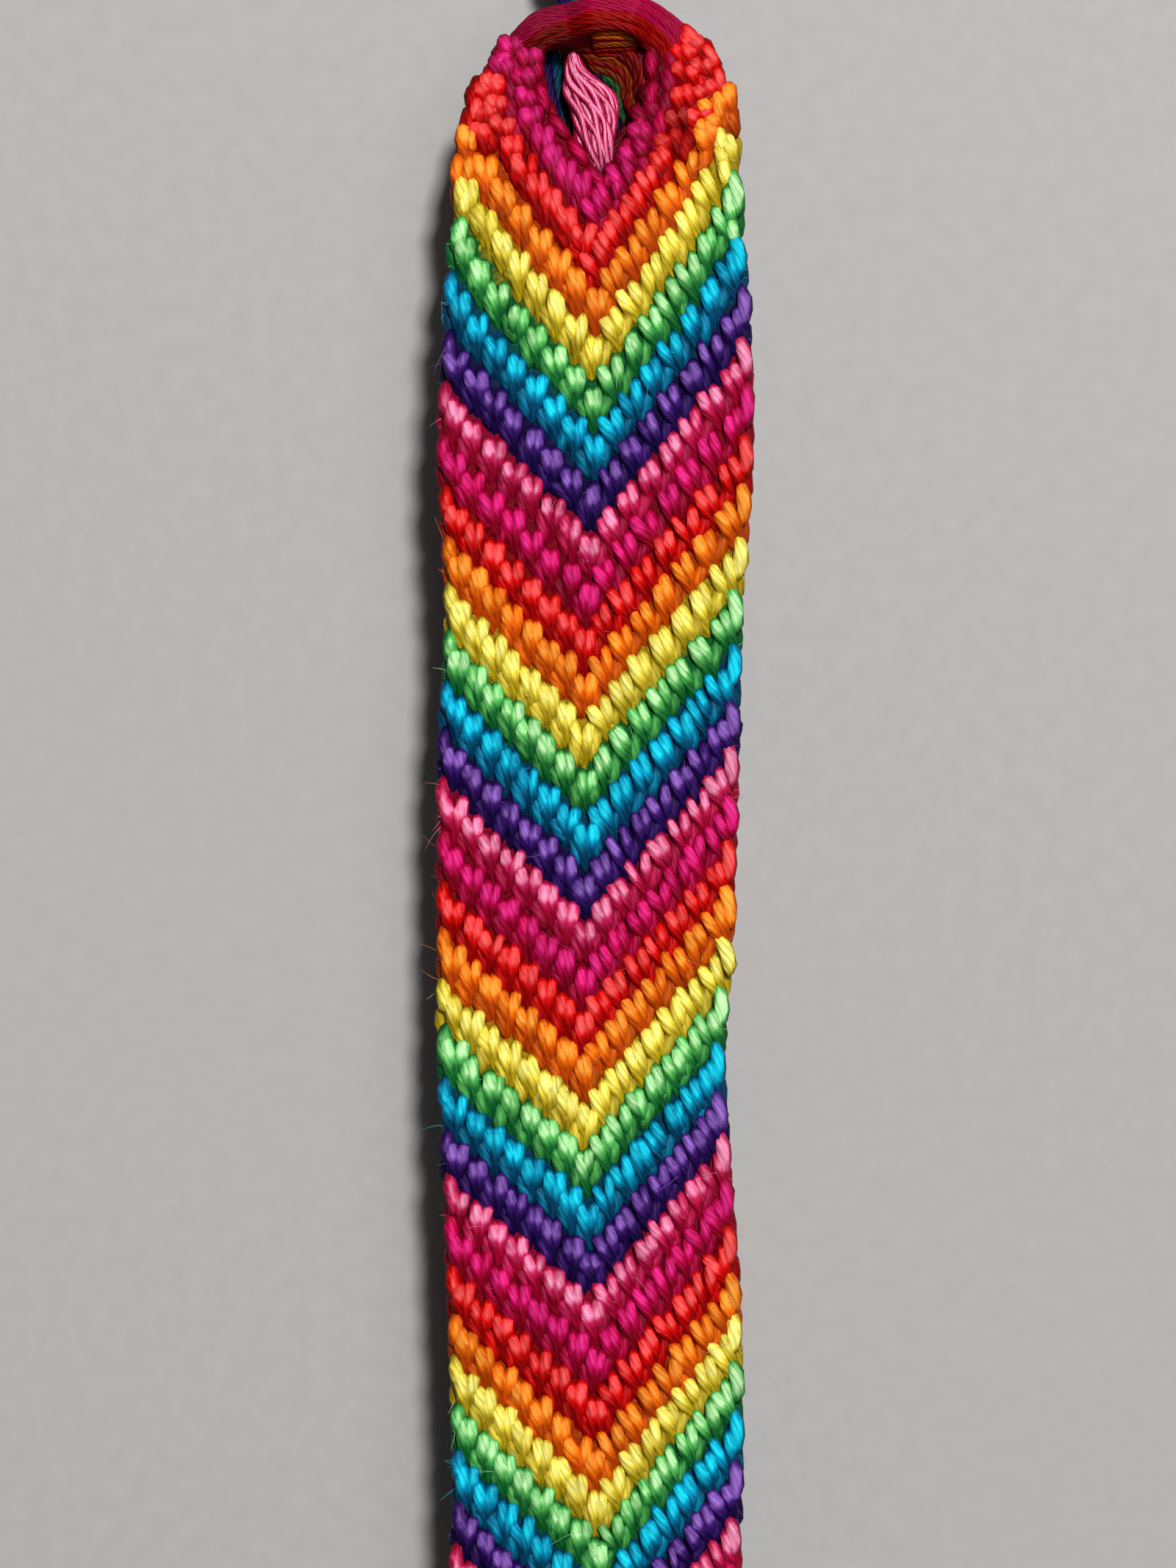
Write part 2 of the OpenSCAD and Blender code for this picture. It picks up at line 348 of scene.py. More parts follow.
@dataclass(frozen=True)
class FlossFinish:
    """Mercerised cotton embroidery floss: six loose plies with a soft silky gloss along them, with painted
    shade that makes it deep and saturated in the crevices, and a painted highlight on the crown of a knot.

    light is a painted highlight for a crown, mid the colour of a flank, and shade the painted shade of a
    crevice.
    """

    dye: Dye
    light: str
    mid: str
    shade: str
    plies: int = 6
    twist: float = PLY_TWIST
    gloss: float = 0.55
    ply_depth: float = 0.05

    def material(self) -> bpy.types.Material:
        """Builds the finish.

        The pattern of plies is the absolute sine of the place across the plies, which run at a slant along
        the strand: one turn in twist millimetres. Fibres are about 0.015 mm thick in the real floss and are
        drawn coarser, so that they show. crown is 0 in a crevice and 1 on top of a strand: low it gives
        painted shade, and high a painted highlight. tone differs from strand to strand, and is lowered as
        painted shade in places.

        Returns:
            The material.
        """
        nodes = Nodes(f"mercerised_cotton_floss_{self.dye.value}")
        crown, tone = nodes.mark("crown"), nodes.mark("tone")
        place = nodes.put("SeparateXYZ", {0: nodes.put("UVMap", uv_map="Plies").outputs[0]}).outputs
        turned = nodes.math("MULTIPLY_ADD", place[1], 1 / self.twist, place[0])
        across = nodes.times(turned, float(self.plies))
        ply = nodes.math("ABSOLUTE", nodes.math("SINE", nodes.times(across, math.pi)))
        thread = nodes.put("CombineXYZ", {
            0: across, 1: nodes.times(place[1], 0.35), 2: nodes.times(tone, 17.0)}).outputs[0]
        fibre, cloud = nodes.noise(thread, 2.2, 3.0, 0.7), nodes.noise(thread, 0.9, 1.0)

        # Painted shade where crown is low, the mid colour on the flanks, a painted highlight broken by noise
        # on top
        flank = nodes.mapped(crown, 0.03, 0.6, soft=True)
        painted_highlight = nodes.times(nodes.mapped(crown, 0.42, 0.82, soft=True),
                          nodes.mapped(cloud, 0.3, 0.7, 0.7, 1.15))
        shade, mid, light = ((*linear(c), 1.0) for c in (self.shade, self.mid, self.light))
        body = nodes.mixed(painted_highlight, nodes.mixed(flank, shade, mid), light)
        # Painted shade in the grooves between plies
        groove = nodes.mapped(ply, 0.0, 0.6, 0.74, 1.0)
        speck = nodes.mapped(fibre, 0.32, 0.68, 0.68, 1.24)
        # Each strand's tone differs at random, and is lowered further as painted shade in places
        tone_and_shade_value = nodes.mapped(tone, -5.0, 1.0, 0.13, 1.0)
        colour = nodes.dimmed(nodes.times(nodes.times(groove, speck), tone_and_shade_value), body)
        relief = nodes.math("MULTIPLY_ADD", fibre, 0.35, ply)
        return nodes.shaded({
            "Base Color": colour, "Roughness": self.gloss, "Specular IOR Level": 0.08, "Sheen Weight": 0.02,
            "Sheen Roughness": 0.35, "Sheen Tint": light, "Normal": nodes.bump(0.75, self.ply_depth, relief)})


@dataclass(frozen=True)
class DeepFinish:
    """Matt cotton floss coloured from the dye attribute: on the core, the rows' colour darkened as painted
    shade in the crevices; on the stray fibres, a painted highlight."""

    name: str = "cotton_floss_painted_shade"
    rough: float = 0.85
    sheen: float = 0.0

    def material(self) -> bpy.types.Material:
        """Builds the finish: the dye attribute's colour, broken up by specks about 0.2 mm across."""
        nodes = Nodes(self.name)
        fibre = nodes.noise(nodes.put("TexCoord").outputs["Object"], 5000.0, 2.0)
        # The dye mark: painted shade on the core, the painted highlight colour on the stray fibres
        colour = nodes.dimmed(nodes.mapped(fibre, 0.3, 0.7, 0.6, 1.3), nodes.mark("dye", "Color"))
        return nodes.shaded({
            "Base Color": colour, "Roughness": self.rough, "Specular IOR Level": 0.1,
            "Sheen Weight": self.sheen, "Normal": nodes.bump(0.5, 0.05, fibre)})


# Each dye's painted highlight, its flank colour and its painted shade
FLOSS = {finish.dye: finish for finish in (
    FlossFinish(Dye.MAGENTA, "#E42684", "#B80048", "#7E0018"),
    FlossFinish(Dye.RED, "#FA5858", "#D60400", "#8C0000"),
    FlossFinish(Dye.ORANGE, "#FFA038", "#EC6C04", "#B03C00"),
    FlossFinish(Dye.YELLOW, "#FFF788", "#F2DC4A", "#A68C0C"),
    FlossFinish(Dye.GREEN, "#C4FAB4", "#5ABC5C", "#0A5E28"),
    FlossFinish(Dye.TEAL, "#12D6F2", "#008CB6", "#003A5C"),
    FlossFinish(Dye.PURPLE, "#8E62BE", "#3C166C", "#14043C"),
    FlossFinish(Dye.PINK, "#FC98C0", "#C8205A", "#8C0024"),
)}


@dataclass(frozen=True)
class BandPath:
    """Where the middle of the band runs: up from the loop's low rim, along with a little sag, round the
    fold, and back on the floor under itself."""

    width: float = 17.0
    thick: float = 1.9
    inner_gap: float = 5.2
    upper_sag: float = 0.6
    lay_len: float = 88.0
    tie_len: float = 22.0
    rim_drop: float = 2.2
    droop_len: float = 18.0
    sag_start: float = 12.0
    past_rim: float = 16.0
    point_len: float = 6.0
    point_w: float = 0.46
    # Edges: distance along the band, then the left and the right share of half the width
    edges: tuple = (
        (12, .91, .93), (15, .95, .97), (19, .97, .99), (23, 1, 1), (27, .98, .97), (32, .95, .93),
        (41, 1, .9), (50, 1, .87), (56, 1, .82), (62, .97, .86), (68, .94, .91), (74, .91, .93),
        (84, .91, .91), (96, .9, .9), (104, .9, .9), (110, .92, .88), (116, .94, .83), (122, .96, .79),
        (128, .96, .83), (137, .95, .87), (148, .93, .9))

    @property
    def under_z(self) -> float:
        """Height of the middle of the lower layer."""
        return self.thick / 2

    @property
    def upper_z(self) -> float:
        """Height of the middle of the upper layer, before its sag."""
        return 1.5 * self.thick + self.inner_gap

    @property
    def fold_r(self) -> float:
        """Radius of the fold, at the middle of the band's thickness."""
        return (self.upper_z - self.under_z) / 2

    @property
    def rim_y(self) -> float:
        """Place of the loop's rim."""
        return (self.lay_len - self.past_rim) / 2

    @property
    def fold_d(self) -> float:
        """Distance from the rim to where the fold starts."""
        return self.lay_len - self.fold_r - self.thick / 2

    @property
    def bend_len(self) -> float:
        """Length of the band round the fold."""
        return math.pi * self.fold_r

    @property
    def tail_d(self) -> float:
        """Distance along the band at which its knotting ends."""
        return self.fold_d + self.bend_len + self.fold_d - self.tie_len

    def upper_at(self, s: np.ndarray) -> np.ndarray:
        """Height of the upper layer's middle: flat, less a square droop to the rim and a squared sine's
        sag."""
        droop = self.rim_drop * (np.maximum(0, self.droop_len - s) / self.droop_len) ** 2
        swing = np.sin(math.pi * np.clip((s - self.sag_start) / (self.fold_d - self.sag_start), 0, 1)) ** 2
        return self.upper_z - droop - self.upper_sag * swing

    def place(self, x: np.ndarray, s: np.ndarray, h: np.ndarray) -> np.ndarray:
        """Puts places on the band into the bracelet's frame.

        Args:
            x: across the band.
            s: along its middle from the rim.
            h: from the middle of its thickness outwards.

        Returns:
            The points, in millimetres.
        """
        x, s, h = np.broadcast_arrays(x, s, h)
        turn = np.clip((s - self.fold_d) / self.fold_r, 0, math.pi) + math.pi / 2
        slope = (self.upper_at(s + 0.01) - self.upper_at(s - 0.01)) / 0.02
        facing = np.where(s <= self.fold_d, math.pi / 2 - np.arctan(slope), turn)
        fold_y = self.rim_y - self.fold_d
        past = np.maximum(0, s - self.fold_d - self.bend_len)
        y = np.where(s <= self.fold_d, self.rim_y - s, fold_y + self.fold_r * np.cos(turn) + past)
        z = np.where(s <= self.fold_d, self.upper_at(s),
                     self.upper_z - self.fold_r + self.fold_r * np.sin(turn))
        return np.stack([x, y + h * np.cos(facing), z + h * np.sin(facing)], axis=-1)

    def half_width(self, s: np.ndarray, side: np.ndarray) -> np.ndarray:
        """Half the band's width on a side (negative is left), drawn in to a blunt point at the tail."""
        share = np.where(side < 0, look_up(self.edges, s, 1), look_up(self.edges, s, 2))
        drawn_in = np.clip((s - (self.tail_d - self.point_len)) / self.point_len, 0, 1) ** 1.5
        return self.width / 2 * np.minimum(1, share) * (1 - (1 - self.point_w) * drawn_in)


@dataclass(frozen=True)
class LoopOutline:
    """The loop's hole and outside, each a closed line of points (x, s)."""

    near: float = 1.4
    length: float = 7.6
    wide: float = 5.4
    middle: float = -0.2
    lean: float = 0.6
    peak: float = 0.7
    loop_len: float = 12.0
    round_len: float = 6.0
    round_w: float = 14.2
    end_lean: float = 1.1
    join: tuple[float, float] = (7.735, 7.905)
    bluntness: float = 0.86

    def hole(self, turn: np.ndarray) -> np.ndarray:
        """A teardrop whose point looks along the band at turn 0: the cosine along, the sine across, times a
        power of the half turn's sine, which sharpens the point."""
        reach = (1 + np.cos(turn)) / 2
        side = np.sin(turn) * np.abs(np.sin(turn / 2)) ** 1.5 / self.peak
        return np.stack([self.middle + self.lean * reach + self.wide / 2 * side,
                         self.near + self.length * reach], axis=-1)

    def outside(self, turn: np.ndarray) -> np.ndarray:
        """A round end that leans to the right, from straight sides, from the straight line where the band
        starts: arcs of a blunt ellipse, then straight stretches."""
        def root(v: np.ndarray) -> np.ndarray:
            return np.sign(v) * np.abs(v) ** self.bluntness
        turn = turn % TAU
        eighth = TAU / 8
        left, right = self.join
        half = self.round_w / 2
        s = self.round_len * (1 + root(np.cos(turn)))
        rounded = np.stack([self.end_lean * (1 - s / self.round_len) + half * root(np.sin(turn)), s], axis=-1)
        f = turn / eighth
        fall = self.round_len - self.loop_len
        stretches = (
            (f <= 1, right * f, self.loop_len + 0 * f),
            ((f > 1) & (f < 2), right + (half - right) * (f - 1), self.loop_len + fall * (f - 1)),
            ((f > 6) & (f < 7), -half + (half - left) * (f - 6), self.round_len - fall * (f - 6)),
            (f >= 7, -left * (8 - f), self.loop_len + 0 * f))
        for where, x, d in stretches:
            rounded = np.where(where[..., None], np.stack([x, d], axis=-1), rounded)
        return rounded


@dataclass
class Knots:
    """Places of knots: x and s in millimetres, slope of their row (change of s with x), side (-1 left arm,
    0 middle, 1 right arm), and dye as a number in DYES."""

    x: np.ndarray
    s: np.ndarray
    slope: np.ndarray
    side: np.ndarray
    dye: np.ndarray

    @staticmethod
    def joined(parts: Iterable["Knots"]) -> "Knots":
        """All the knots of several sets."""
        parts = list(parts)
        names = ("x", "s", "slope", "side", "dye")
        return Knots(*(np.concatenate([getattr(p, name) for p in parts]) for name in names))

    def picked(self, which: np.ndarray) -> "Knots":
        """The knots for which which is true."""
        return Knots(self.x[which], self.s[which], self.slope[which], self.side[which], self.dye[which])


@dataclass(frozen=True)
class Chevron:
    """The pattern of rows: V shapes whose points look along the band, eight colours that repeat."""

    path: BandPath
    first: float = 15.7
    first_dye: Dye = Dye.ORANGE
    # Steps from each row's point to the next, as far as the photograph shows them; later rows are one pitch
    # apart
    steps: tuple = (
        2.5, 2.7, 2.6, 2.7, 2.6, 2.5, 2.5, 2.3, 2.6, 2.6, 2.8, 2.7, 2.5, 2.5, 2.4, 2.3, 2.6, 2.4, 2.8,
        2.6, 2.6, 2.6, 2.7, 2.7, 2.2, 2.5)
    pitch: float = 2.57
    # By the row's point: rise of the left and the right arm per millimetre across, and where the point is
    # across the band
    arms: tuple = (
        (16, 1.04, 1.3, 0), (25.6, .98, 1.2, -.15), (36.5, .95, 1.13, -.6), (46.5, .95, 1.1, -.5),
        (56.9, .83, 1.11, -.6), (66.4, .8, 1.13, -.25), (77.6, .9, 1.2, .1), (90, .92, 1.15, .1),
        (110, .95, 1.05, -.2), (130, .9, 1.1, .1), (160, .9, .95, 0))
    columns: int = 7
    edge_column: float = 7.9
    turn_column: float = 7.62
    point_drop: float = 0.05
    # Near the first row the arms rise more steeply: by how much at steep_x from the middle, and over what
    # length
    steep_rise: float = 1.4
    steep_x: float = 6.6
    steep_len: float = 7.0
    # Where the rows and the edges start and stop, from the rim or from the tail
    first_knot: float = 4.5
    first_turn: float = 7.0
    shoulder: float = 9.4
    before_tail: float = 0.9
    past_tail: float = 8.5

    def points(self) -> tuple[np.ndarray, np.ndarray]:
        """The place of each row's point along the band, and its dye, for rows past the two that go round
        the loop."""
        later = int(self.path.tail_d / self.pitch)
        places = self.first + np.cumsum([0, *self.steps, *[self.pitch] * later])
        dyes = (self.first_dye.number + np.arange(len(places))) % len(DYES)
        shown = places < self.path.tail_d + self.past_tail
        return places[shown], dyes[shown]

    def at(self, point: np.ndarray, column: np.ndarray) -> tuple[np.ndarray, np.ndarray, np.ndarray]:
        """Where a column of a row is: columns share the width out evenly, and the arms rise straight from
        the point, and more steeply near the loop with the cube of the distance from the middle.

        Args:
            point: the place of the row's point.
            column: number of the column, negative to the left.

        Returns:
            x, s and the row's slope there.
        """
        left, right, middle = (look_up(self.arms, point, k) for k in (1, 2, 3))
        rise = np.where(column < 0, left, right)
        steep = self.steep_rise * np.exp(-((point - self.first) / self.steep_len) ** 2)
        s = point - rise * np.abs(column)
        for _ in range(3):
            edge = np.sign(column) * self.path.half_width(s, column)
            x = middle + column / self.edge_column * np.where(column == 0, 0, np.abs(edge - middle))
            away = np.abs(x - middle)
            s = point - rise * away - steep * (away / self.steep_x) ** 3
        s = s + np.where(column == 0, self.point_drop, 0)
        slope = -np.sign(column) * (rise + steep * 3 * away ** 2 / self.steep_x ** 3)
        return x, s, slope

    def knots(self) -> Knots:
        """Every knot of the V rows, on the whole length of the band."""
        point, dye = self.points()
        column = np.arange(-self.columns, self.columns + 1)
        point, column = np.repeat(point, len(column)), np.tile(column, len(point))
        x, s, slope = self.at(point, column)
        found = Knots(x, s, slope, np.sign(column), np.repeat(dye, 2 * self.columns + 1))
        return found.picked((s < self.path.tail_d - self.before_tail) & (s > self.first_knot))

    def edge_turns(self) -> Knots:
        """Where each row's string turns back at either edge."""
        point, dye = self.points()
        column = np.array([-self.turn_column, self.turn_column])
        point, dye = np.repeat(point, 2), np.repeat(dye, 2)
        x, s, slope = self.at(point, np.tile(column, len(point) // 2))
        # The orange string turns once more on the left shoulder, where the loop's rows begin
        dye = np.where((x < 0) & (s < self.shoulder), Dye.ORANGE.number, dye)
        found = Knots(x, s, slope, np.sign(x), dye)
        return found.picked((s < self.path.tail_d - self.before_tail) & (s > self.first_turn))


@dataclass(frozen=True)
class LoopRows:
    """Rows of knots that go round the loop's hole, charted one by one: each row's dye, its arm (-1 left, 1
    right) and the (x, s) of its points. The knots stand nearer to the rim than the chart by lead."""

    gap: float = 1.2
    lead: float = 0.2
    flattest: float = 0.4
    rows: tuple = (
        (Dye.MAGENTA, -1, ((-.75, 9.75), (-1.75, 8.85), (-2.6, 7.7), (-3.3, 6.5), (-3.75, 5.2),
                           (-3.85, 3.9), (-3.55, 2.8))),
        (Dye.MAGENTA, -1, ((-5.0, 3.3), (-4.5, 2.2))),
        (Dye.MAGENTA, 1, ((.15, 10.75), (1.1, 9.6), (1.75, 8.6), (2.35, 7.5), (2.65, 6.3), (3.1, 5.0),
                          (3.35, 3.8), (3.4, 2.3))),
        (Dye.RED, -1, ((-.75, 12.4), (-1.7, 11.3), (-2.5, 10.3), (-3.4, 9.15), (-4.25, 7.9), (-4.9, 6.6),
                       (-5.3, 5.3), (-5.55, 4.2))),
        (Dye.RED, -1, ((-6.15, 7.0), (-6.0, 5.8), (-5.65, 4.6))),
        (Dye.RED, 1, ((.15, 13.5), (1.2, 11.8), (2.3, 10.5), (3.1, 9.2), (3.8, 7.9), (4.35, 6.5),
                      (4.75, 5.2), (4.95, 3.8), (4.75, 2.4))),
        (Dye.RED, 1, ((5.7, 6.0), (6.0, 4.8), (5.85, 3.4), (5.25, 2.0))),
        (Dye.ORANGE, 1, ((6.15, 6.5), (6.25, 5.4))),
    )

    def knots(self) -> Knots:
        """The rows' knots, spread evenly along each."""
        found = []
        for dye, side, chart in self.rows:
            places, heading = along(np.array(chart), self.gap)
            over, on = heading.T
            over = np.where(np.abs(over) < self.flattest, self.flattest * np.where(over < 0, -1, 1), over)
            n = len(places)
            found.append(Knots(places[:, 0], places[:, 1] - self.lead, on / over, np.full(n, side),
                               np.full(n, dye.number)))
        return Knots.joined(found)


@dataclass
class Beads:
    """Short plump strands that lie on the band. In the plane of the band each has a centre (x, s), a lean
    from the band's length in radians (towards +x further along), and half sizes; h is its centre's height,
    dive how far its far end sinks, bow how far its middle stands aside of its ends, and skew how far its
    highest and widest place stands from the centre towards the loop, as a share of half its length.

    Its outline is a ring of points on an ellipse, carried along its length, whose radius falls to nothing
    at the ends as the root of one less a power of the distance from the middle, while its centre sinks with
    the square of the distance before the highest place, and in a soft step past it. Sines round and along
    it make it a little lumpy.
    """

    x: np.ndarray
    s: np.ndarray
    lean: np.ndarray
    half_len: np.ndarray
    half_w: np.ndarray
    h: np.ndarray
    half_h: np.ndarray
    dive: np.ndarray
    skew: np.ndarray
    bow: np.ndarray
    tone: np.ndarray
    dye: np.ndarray

    NAMES = ("x", "s", "lean", "half_len", "half_w", "h", "half_h", "dive", "skew", "bow", "tone", "dye")

    @classmethod
    def of(cls, **values: np.ndarray | float) -> "Beads":
        """Beads from arrays and plain numbers, which count for every bead."""
        return cls(*(np.array(v, float) for v in np.broadcast_arrays(*(values[name] for name in cls.NAMES))))

    @classmethod
    def joined(cls, parts: Iterable["Beads"]) -> "Beads":
        """All the beads of several sets."""
        parts = list(parts)
        return cls(*(np.concatenate([getattr(p, name) for p in parts]) for name in cls.NAMES))

    def picked(self, which: np.ndarray) -> "Beads":
        """The beads for which which is true."""
        return Beads(*(getattr(self, name)[which] for name in self.NAMES))

    def strands(self, path: BandPath, around: int = 8) -> Strands:
        """Carries each bead's ring along its length and lays it on the band.

        Args:
            path: where the band runs.
            around: points in a ring.

        Returns:
            The strands, with the marks crown and tone.
        """
        t = np.array([-1, -.95, -.75, -.35, .15, .6, .9, 1.0])[None, :, None]
        turn = np.arange(around)[None, None] * TAU / around
        thick = np.sqrt(np.maximum(0, 1 - np.abs(t) ** 3))
        x, s, lean, half_len, half_w, h, half_h, dive, skew, bow, tone = (
            getattr(self, name)[:, None, None] for name in self.NAMES[:-1])
        run = half_len * t
        lump = 1 + 0.07 * np.sin(3 * turn + 5 * t + 40 * tone) + 0.05 * np.sin(2 * turn - 8 * t + 23 * tone)
        thick = thick * lump
        over = half_w * thick * (1 - 0.25 * skew * t) * np.cos(turn) + bow * (1 - t * t)
        face = np.sign(h) + (h == 0)
        away = t + skew
        tail = np.where(skew > 0, smooth(t, -0.6, 1.05), np.maximum(0, t) ** 2)
        sunk = dive * (tail + (1 - skew) * (np.minimum(0, away) / (1 - skew)) ** 2)
        up = h - face * sunk + half_h * thick * np.sin(turn)
        px = x + run * np.sin(lean) + over * np.cos(lean)
        ps = s + run * np.cos(lean) - over * np.sin(lean)
        points = path.place(px, ps, up)
        # Painted shade: the tail of a skewed bead, past its highest place, darkens as it dives
        painted_tail_shade = 1 - 1.28 * skew * smooth(t, -0.48, 0.02)
        # crown: height over the band's middle, which the finish turns into painted shade and painted
        # highlight
        crown = np.clip((face * up - 0.42) / 0.52, 0, 1) * painted_tail_shade
        tone_and_shade_marks = tone * np.ones_like(px)
        plies = np.repeat(self.tone[:, None], t.shape[1], axis=1)
        return Strands(points[:, 1:-1], points[:, [0, -1], 0], plies, (half_len * (t + 1))[..., 0],
                       {"crown": crown[:, 1:-1], "tone": tone_and_shade_marks[:, 1:-1]},
                       {"crown": crown[:, [0, -1], 0], "tone": tone_and_shade_marks[:, [0, -1], 0]})


@dataclass(frozen=True)
class Knotting:
    """How knots and edges are tied: each knot is two wraps side by side, which lean one way on the right
    arm of a V and together, like a bud, on its left arm."""

    path: BandPath
    wrap_gaps: tuple[float, float] = (0.16, 0.2)
    # Where the knots sink into shade beside the hole: place (x, s) and reach (x, s)
    hollow: tuple[float, float, float, float] = (4.15, 6.1, 0.85, 1.25)
    left_step: float = 0.2
    right_step: float = 0.75
    left_leans: tuple[float, float] = (8.0, -8.0)
    right_leans: tuple[float, float] = (24.0, 13.0)
    half_len: float = 1.5
    short_half_len: float = 1.05
    half_w: float = 0.41
    skew: float = 0.55
    dive: float = 0.5
    crown_at: float = 0.12
    crown: float = 0.95
    half_h: float = 0.42
    # The dip in the loop's right arm beside the hole: its middle (x, s), its half sizes and its depth
    dip: tuple[float, ...] = (3.3, 3.6, 0.8, 2.4, 0.38)

    def wraps(self, knots: Knots, face: int, rng: np.random.Generator) -> Beads:
        """The two wraps of each knot, on the outer (1) or the inner (-1) face of the band.

        Args:
            knots: where the knots are.
            face: which face.
            rng: the source of chance.

        Returns:
            The wraps.
        """
        n = len(knots.x)
        # Painted shade: the loop's magenta rows near the rim and the knots beside the hole get a darker tone
        shaded = np.where(knots.dye == Dye.MAGENTA.number, 1.2 * smooth(-knots.s, -12, -8), 0)
        x, s, wide, long = self.hollow
        hollow = np.exp(-((knots.x - x) / wide) ** 2 - ((knots.s - s) / long) ** 2)
        sets = []
        for j in (-1, 1):
            pick = 0 if j < 0 else 1
            right = knots.side > 0
            step = np.where(right, self.right_step, self.left_step)
            gap = np.where(right, self.wrap_gaps[1], self.wrap_gaps[0])
            lean = np.where(right, self.right_leans[pick], self.left_leans[pick]) + rng.normal(0, 5.5, n)
            lean = np.radians(lean) * face
            steep = smooth(np.abs(knots.slope), 1.5, 2.4)
            half_len = self.half_len + (self.short_half_len - self.half_len) * steep
            half_len = half_len * (1 + rng.normal(0, 0.07, n))
            half_len *= 1 + 0.14 * np.exp(-((knots.s - 9.5) / 3.5) ** 2) * (knots.side < 0)
            x, s, wide, long, deep = self.dip
            sink = np.exp(-((knots.x - x) / wide) ** 2 - ((knots.s - s) / long) ** 2) * (face > 0)
            sets.append(Beads.of(
                x=knots.x + j * gap * (1 + 0.35 * steep) + rng.normal(0, 0.04, n),
                s=(knots.s - self.crown_at
                   + j * gap * np.clip(knots.slope, -1.6, 1.6) * step * (1 - 0.6 * steep)
                   + self.skew * half_len + rng.normal(0, 0.07, n)),
                lean=lean, half_len=half_len,
                half_w=(self.half_w * np.where(right, 0.96, 1.03) * (1 + 0.2 * steep)
                        * (1 + rng.normal(0, 0.08, n))),
                h=face * (self.crown - self.half_h - deep * sink - np.abs(rng.normal(0, 0.05, n))),
                half_h=self.half_h, dive=self.dive, skew=self.skew, bow=rng.normal(0, 0.04, n),
                # Painted shade: a darker tone in the dip, near the rim and beside the hole
                tone=rng.uniform(-1, 1, n) - 3 * sink - shaded - 3.2 * hollow, dye=knots.dye))
        return Beads.joined(sets)

    def lows(self, knots: Knots, rng: np.random.Generator) -> Beads:
        """The low strands beside each knot's tail on the outer face, in the gap before the next row's
        knots."""
        knots = knots.picked(knots.side != 0)
        n = len(knots.x)
        steep = smooth(np.abs(knots.slope), 1.5, 2.4)
        inwards = np.where(knots.side > 0, -1, 1)
        return Beads.of(
            x=knots.x + inwards * (0.5 - 1.2 * steep) + rng.normal(0, 0.05, n),
            s=knots.s + 1.75 - 1.1 * steep + rng.normal(0, 0.08, n),
            lean=np.radians(inwards * (12 - 12 * steep) + rng.normal(0, 8, n)), half_len=1.15 - 0.15 * steep,
            half_w=0.42 + 0.1 * steep + rng.normal(0, 0.03, n), h=0.3 - np.abs(rng.normal(0, 0.04, n)),
            # Painted shade: the low strands get a darker tone than the knots
            half_h=0.38, dive=0.15, skew=0.0, bow=0.0, tone=rng.uniform(-2, 0, n), dye=knots.dye)

    def turns(self, edges: Knots, rng: np.random.Generator) -> Beads:
        """The strands along both edges, where a row's string turns back: one on the outer face and, half a
        row further, one on the inner face."""
        n = len(edges.x)
        sets = []
        for face in (1, -1):
            s = edges.s + (0 if face > 0 else 1.28)
            rim = self.path.half_width(s, edges.side) * edges.side
            sets.append(Beads.of(
                x=rim - edges.side * (0.62 + rng.normal(0, 0.04, n)), s=s + rng.normal(0, 0.06, n),
                lean=np.radians(rng.normal(4, 5, n)),
                half_len=1.36 - 0.16 * (edges.side < 0) + rng.normal(0, 0.06, n),
                half_w=0.44, h=face * np.where(edges.side < 0, 0.3, 0.44), half_h=0.47, dive=0.2, skew=0.0,
                bow=edges.side * 0.22, tone=rng.uniform(-1, 1, n), dye=edges.dye))
        return Beads.joined(sets)

    def rims(self, line: np.ndarray, outwards: float, length: float, height: float, near: Knots,
             rng: np.random.Generator) -> Beads:
        """Strands that follow a closed or open line (x, s), as at the loop's hole and outside.

        Args:
            line: the line's points.
            outwards: how far the strands stand to the right of the line's heading, negative for its left.
            length: length of a strand.
            height: of a strand's middle over the band's own.
            near: knots from which each strand takes the nearest one's dye.
            rng: the source of chance.

        Returns:
            The strands, on both faces.
        """
        places, heading = along(line, length)
        sets = []
        for face in (1, -1):
            at = places if face > 0 else (places + np.roll(places, -1, axis=0))[:-1] / 2
            way = heading[:len(at)]
            n = len(at)
            x, s = at[:, 0] + outwards * way[:, 1], at[:, 1] - outwards * way[:, 0]
            closest = np.argmin((near.x[None] - x[:, None]) ** 2 + (near.s[None] - s[:, None]) ** 2, axis=1)
            sets.append(Beads.of(
                x=x, s=s, lean=np.arctan2(way[:, 0], way[:, 1]) + np.radians(rng.normal(0, 4, n)),
                half_len=length * 0.56, half_w=0.4, h=face * height, half_h=0.46, dive=0.12, skew=0.0,
                bow=0.0, tone=rng.uniform(-1, 1, n), dye=near.dye[closest]))
        return Beads.joined(sets)


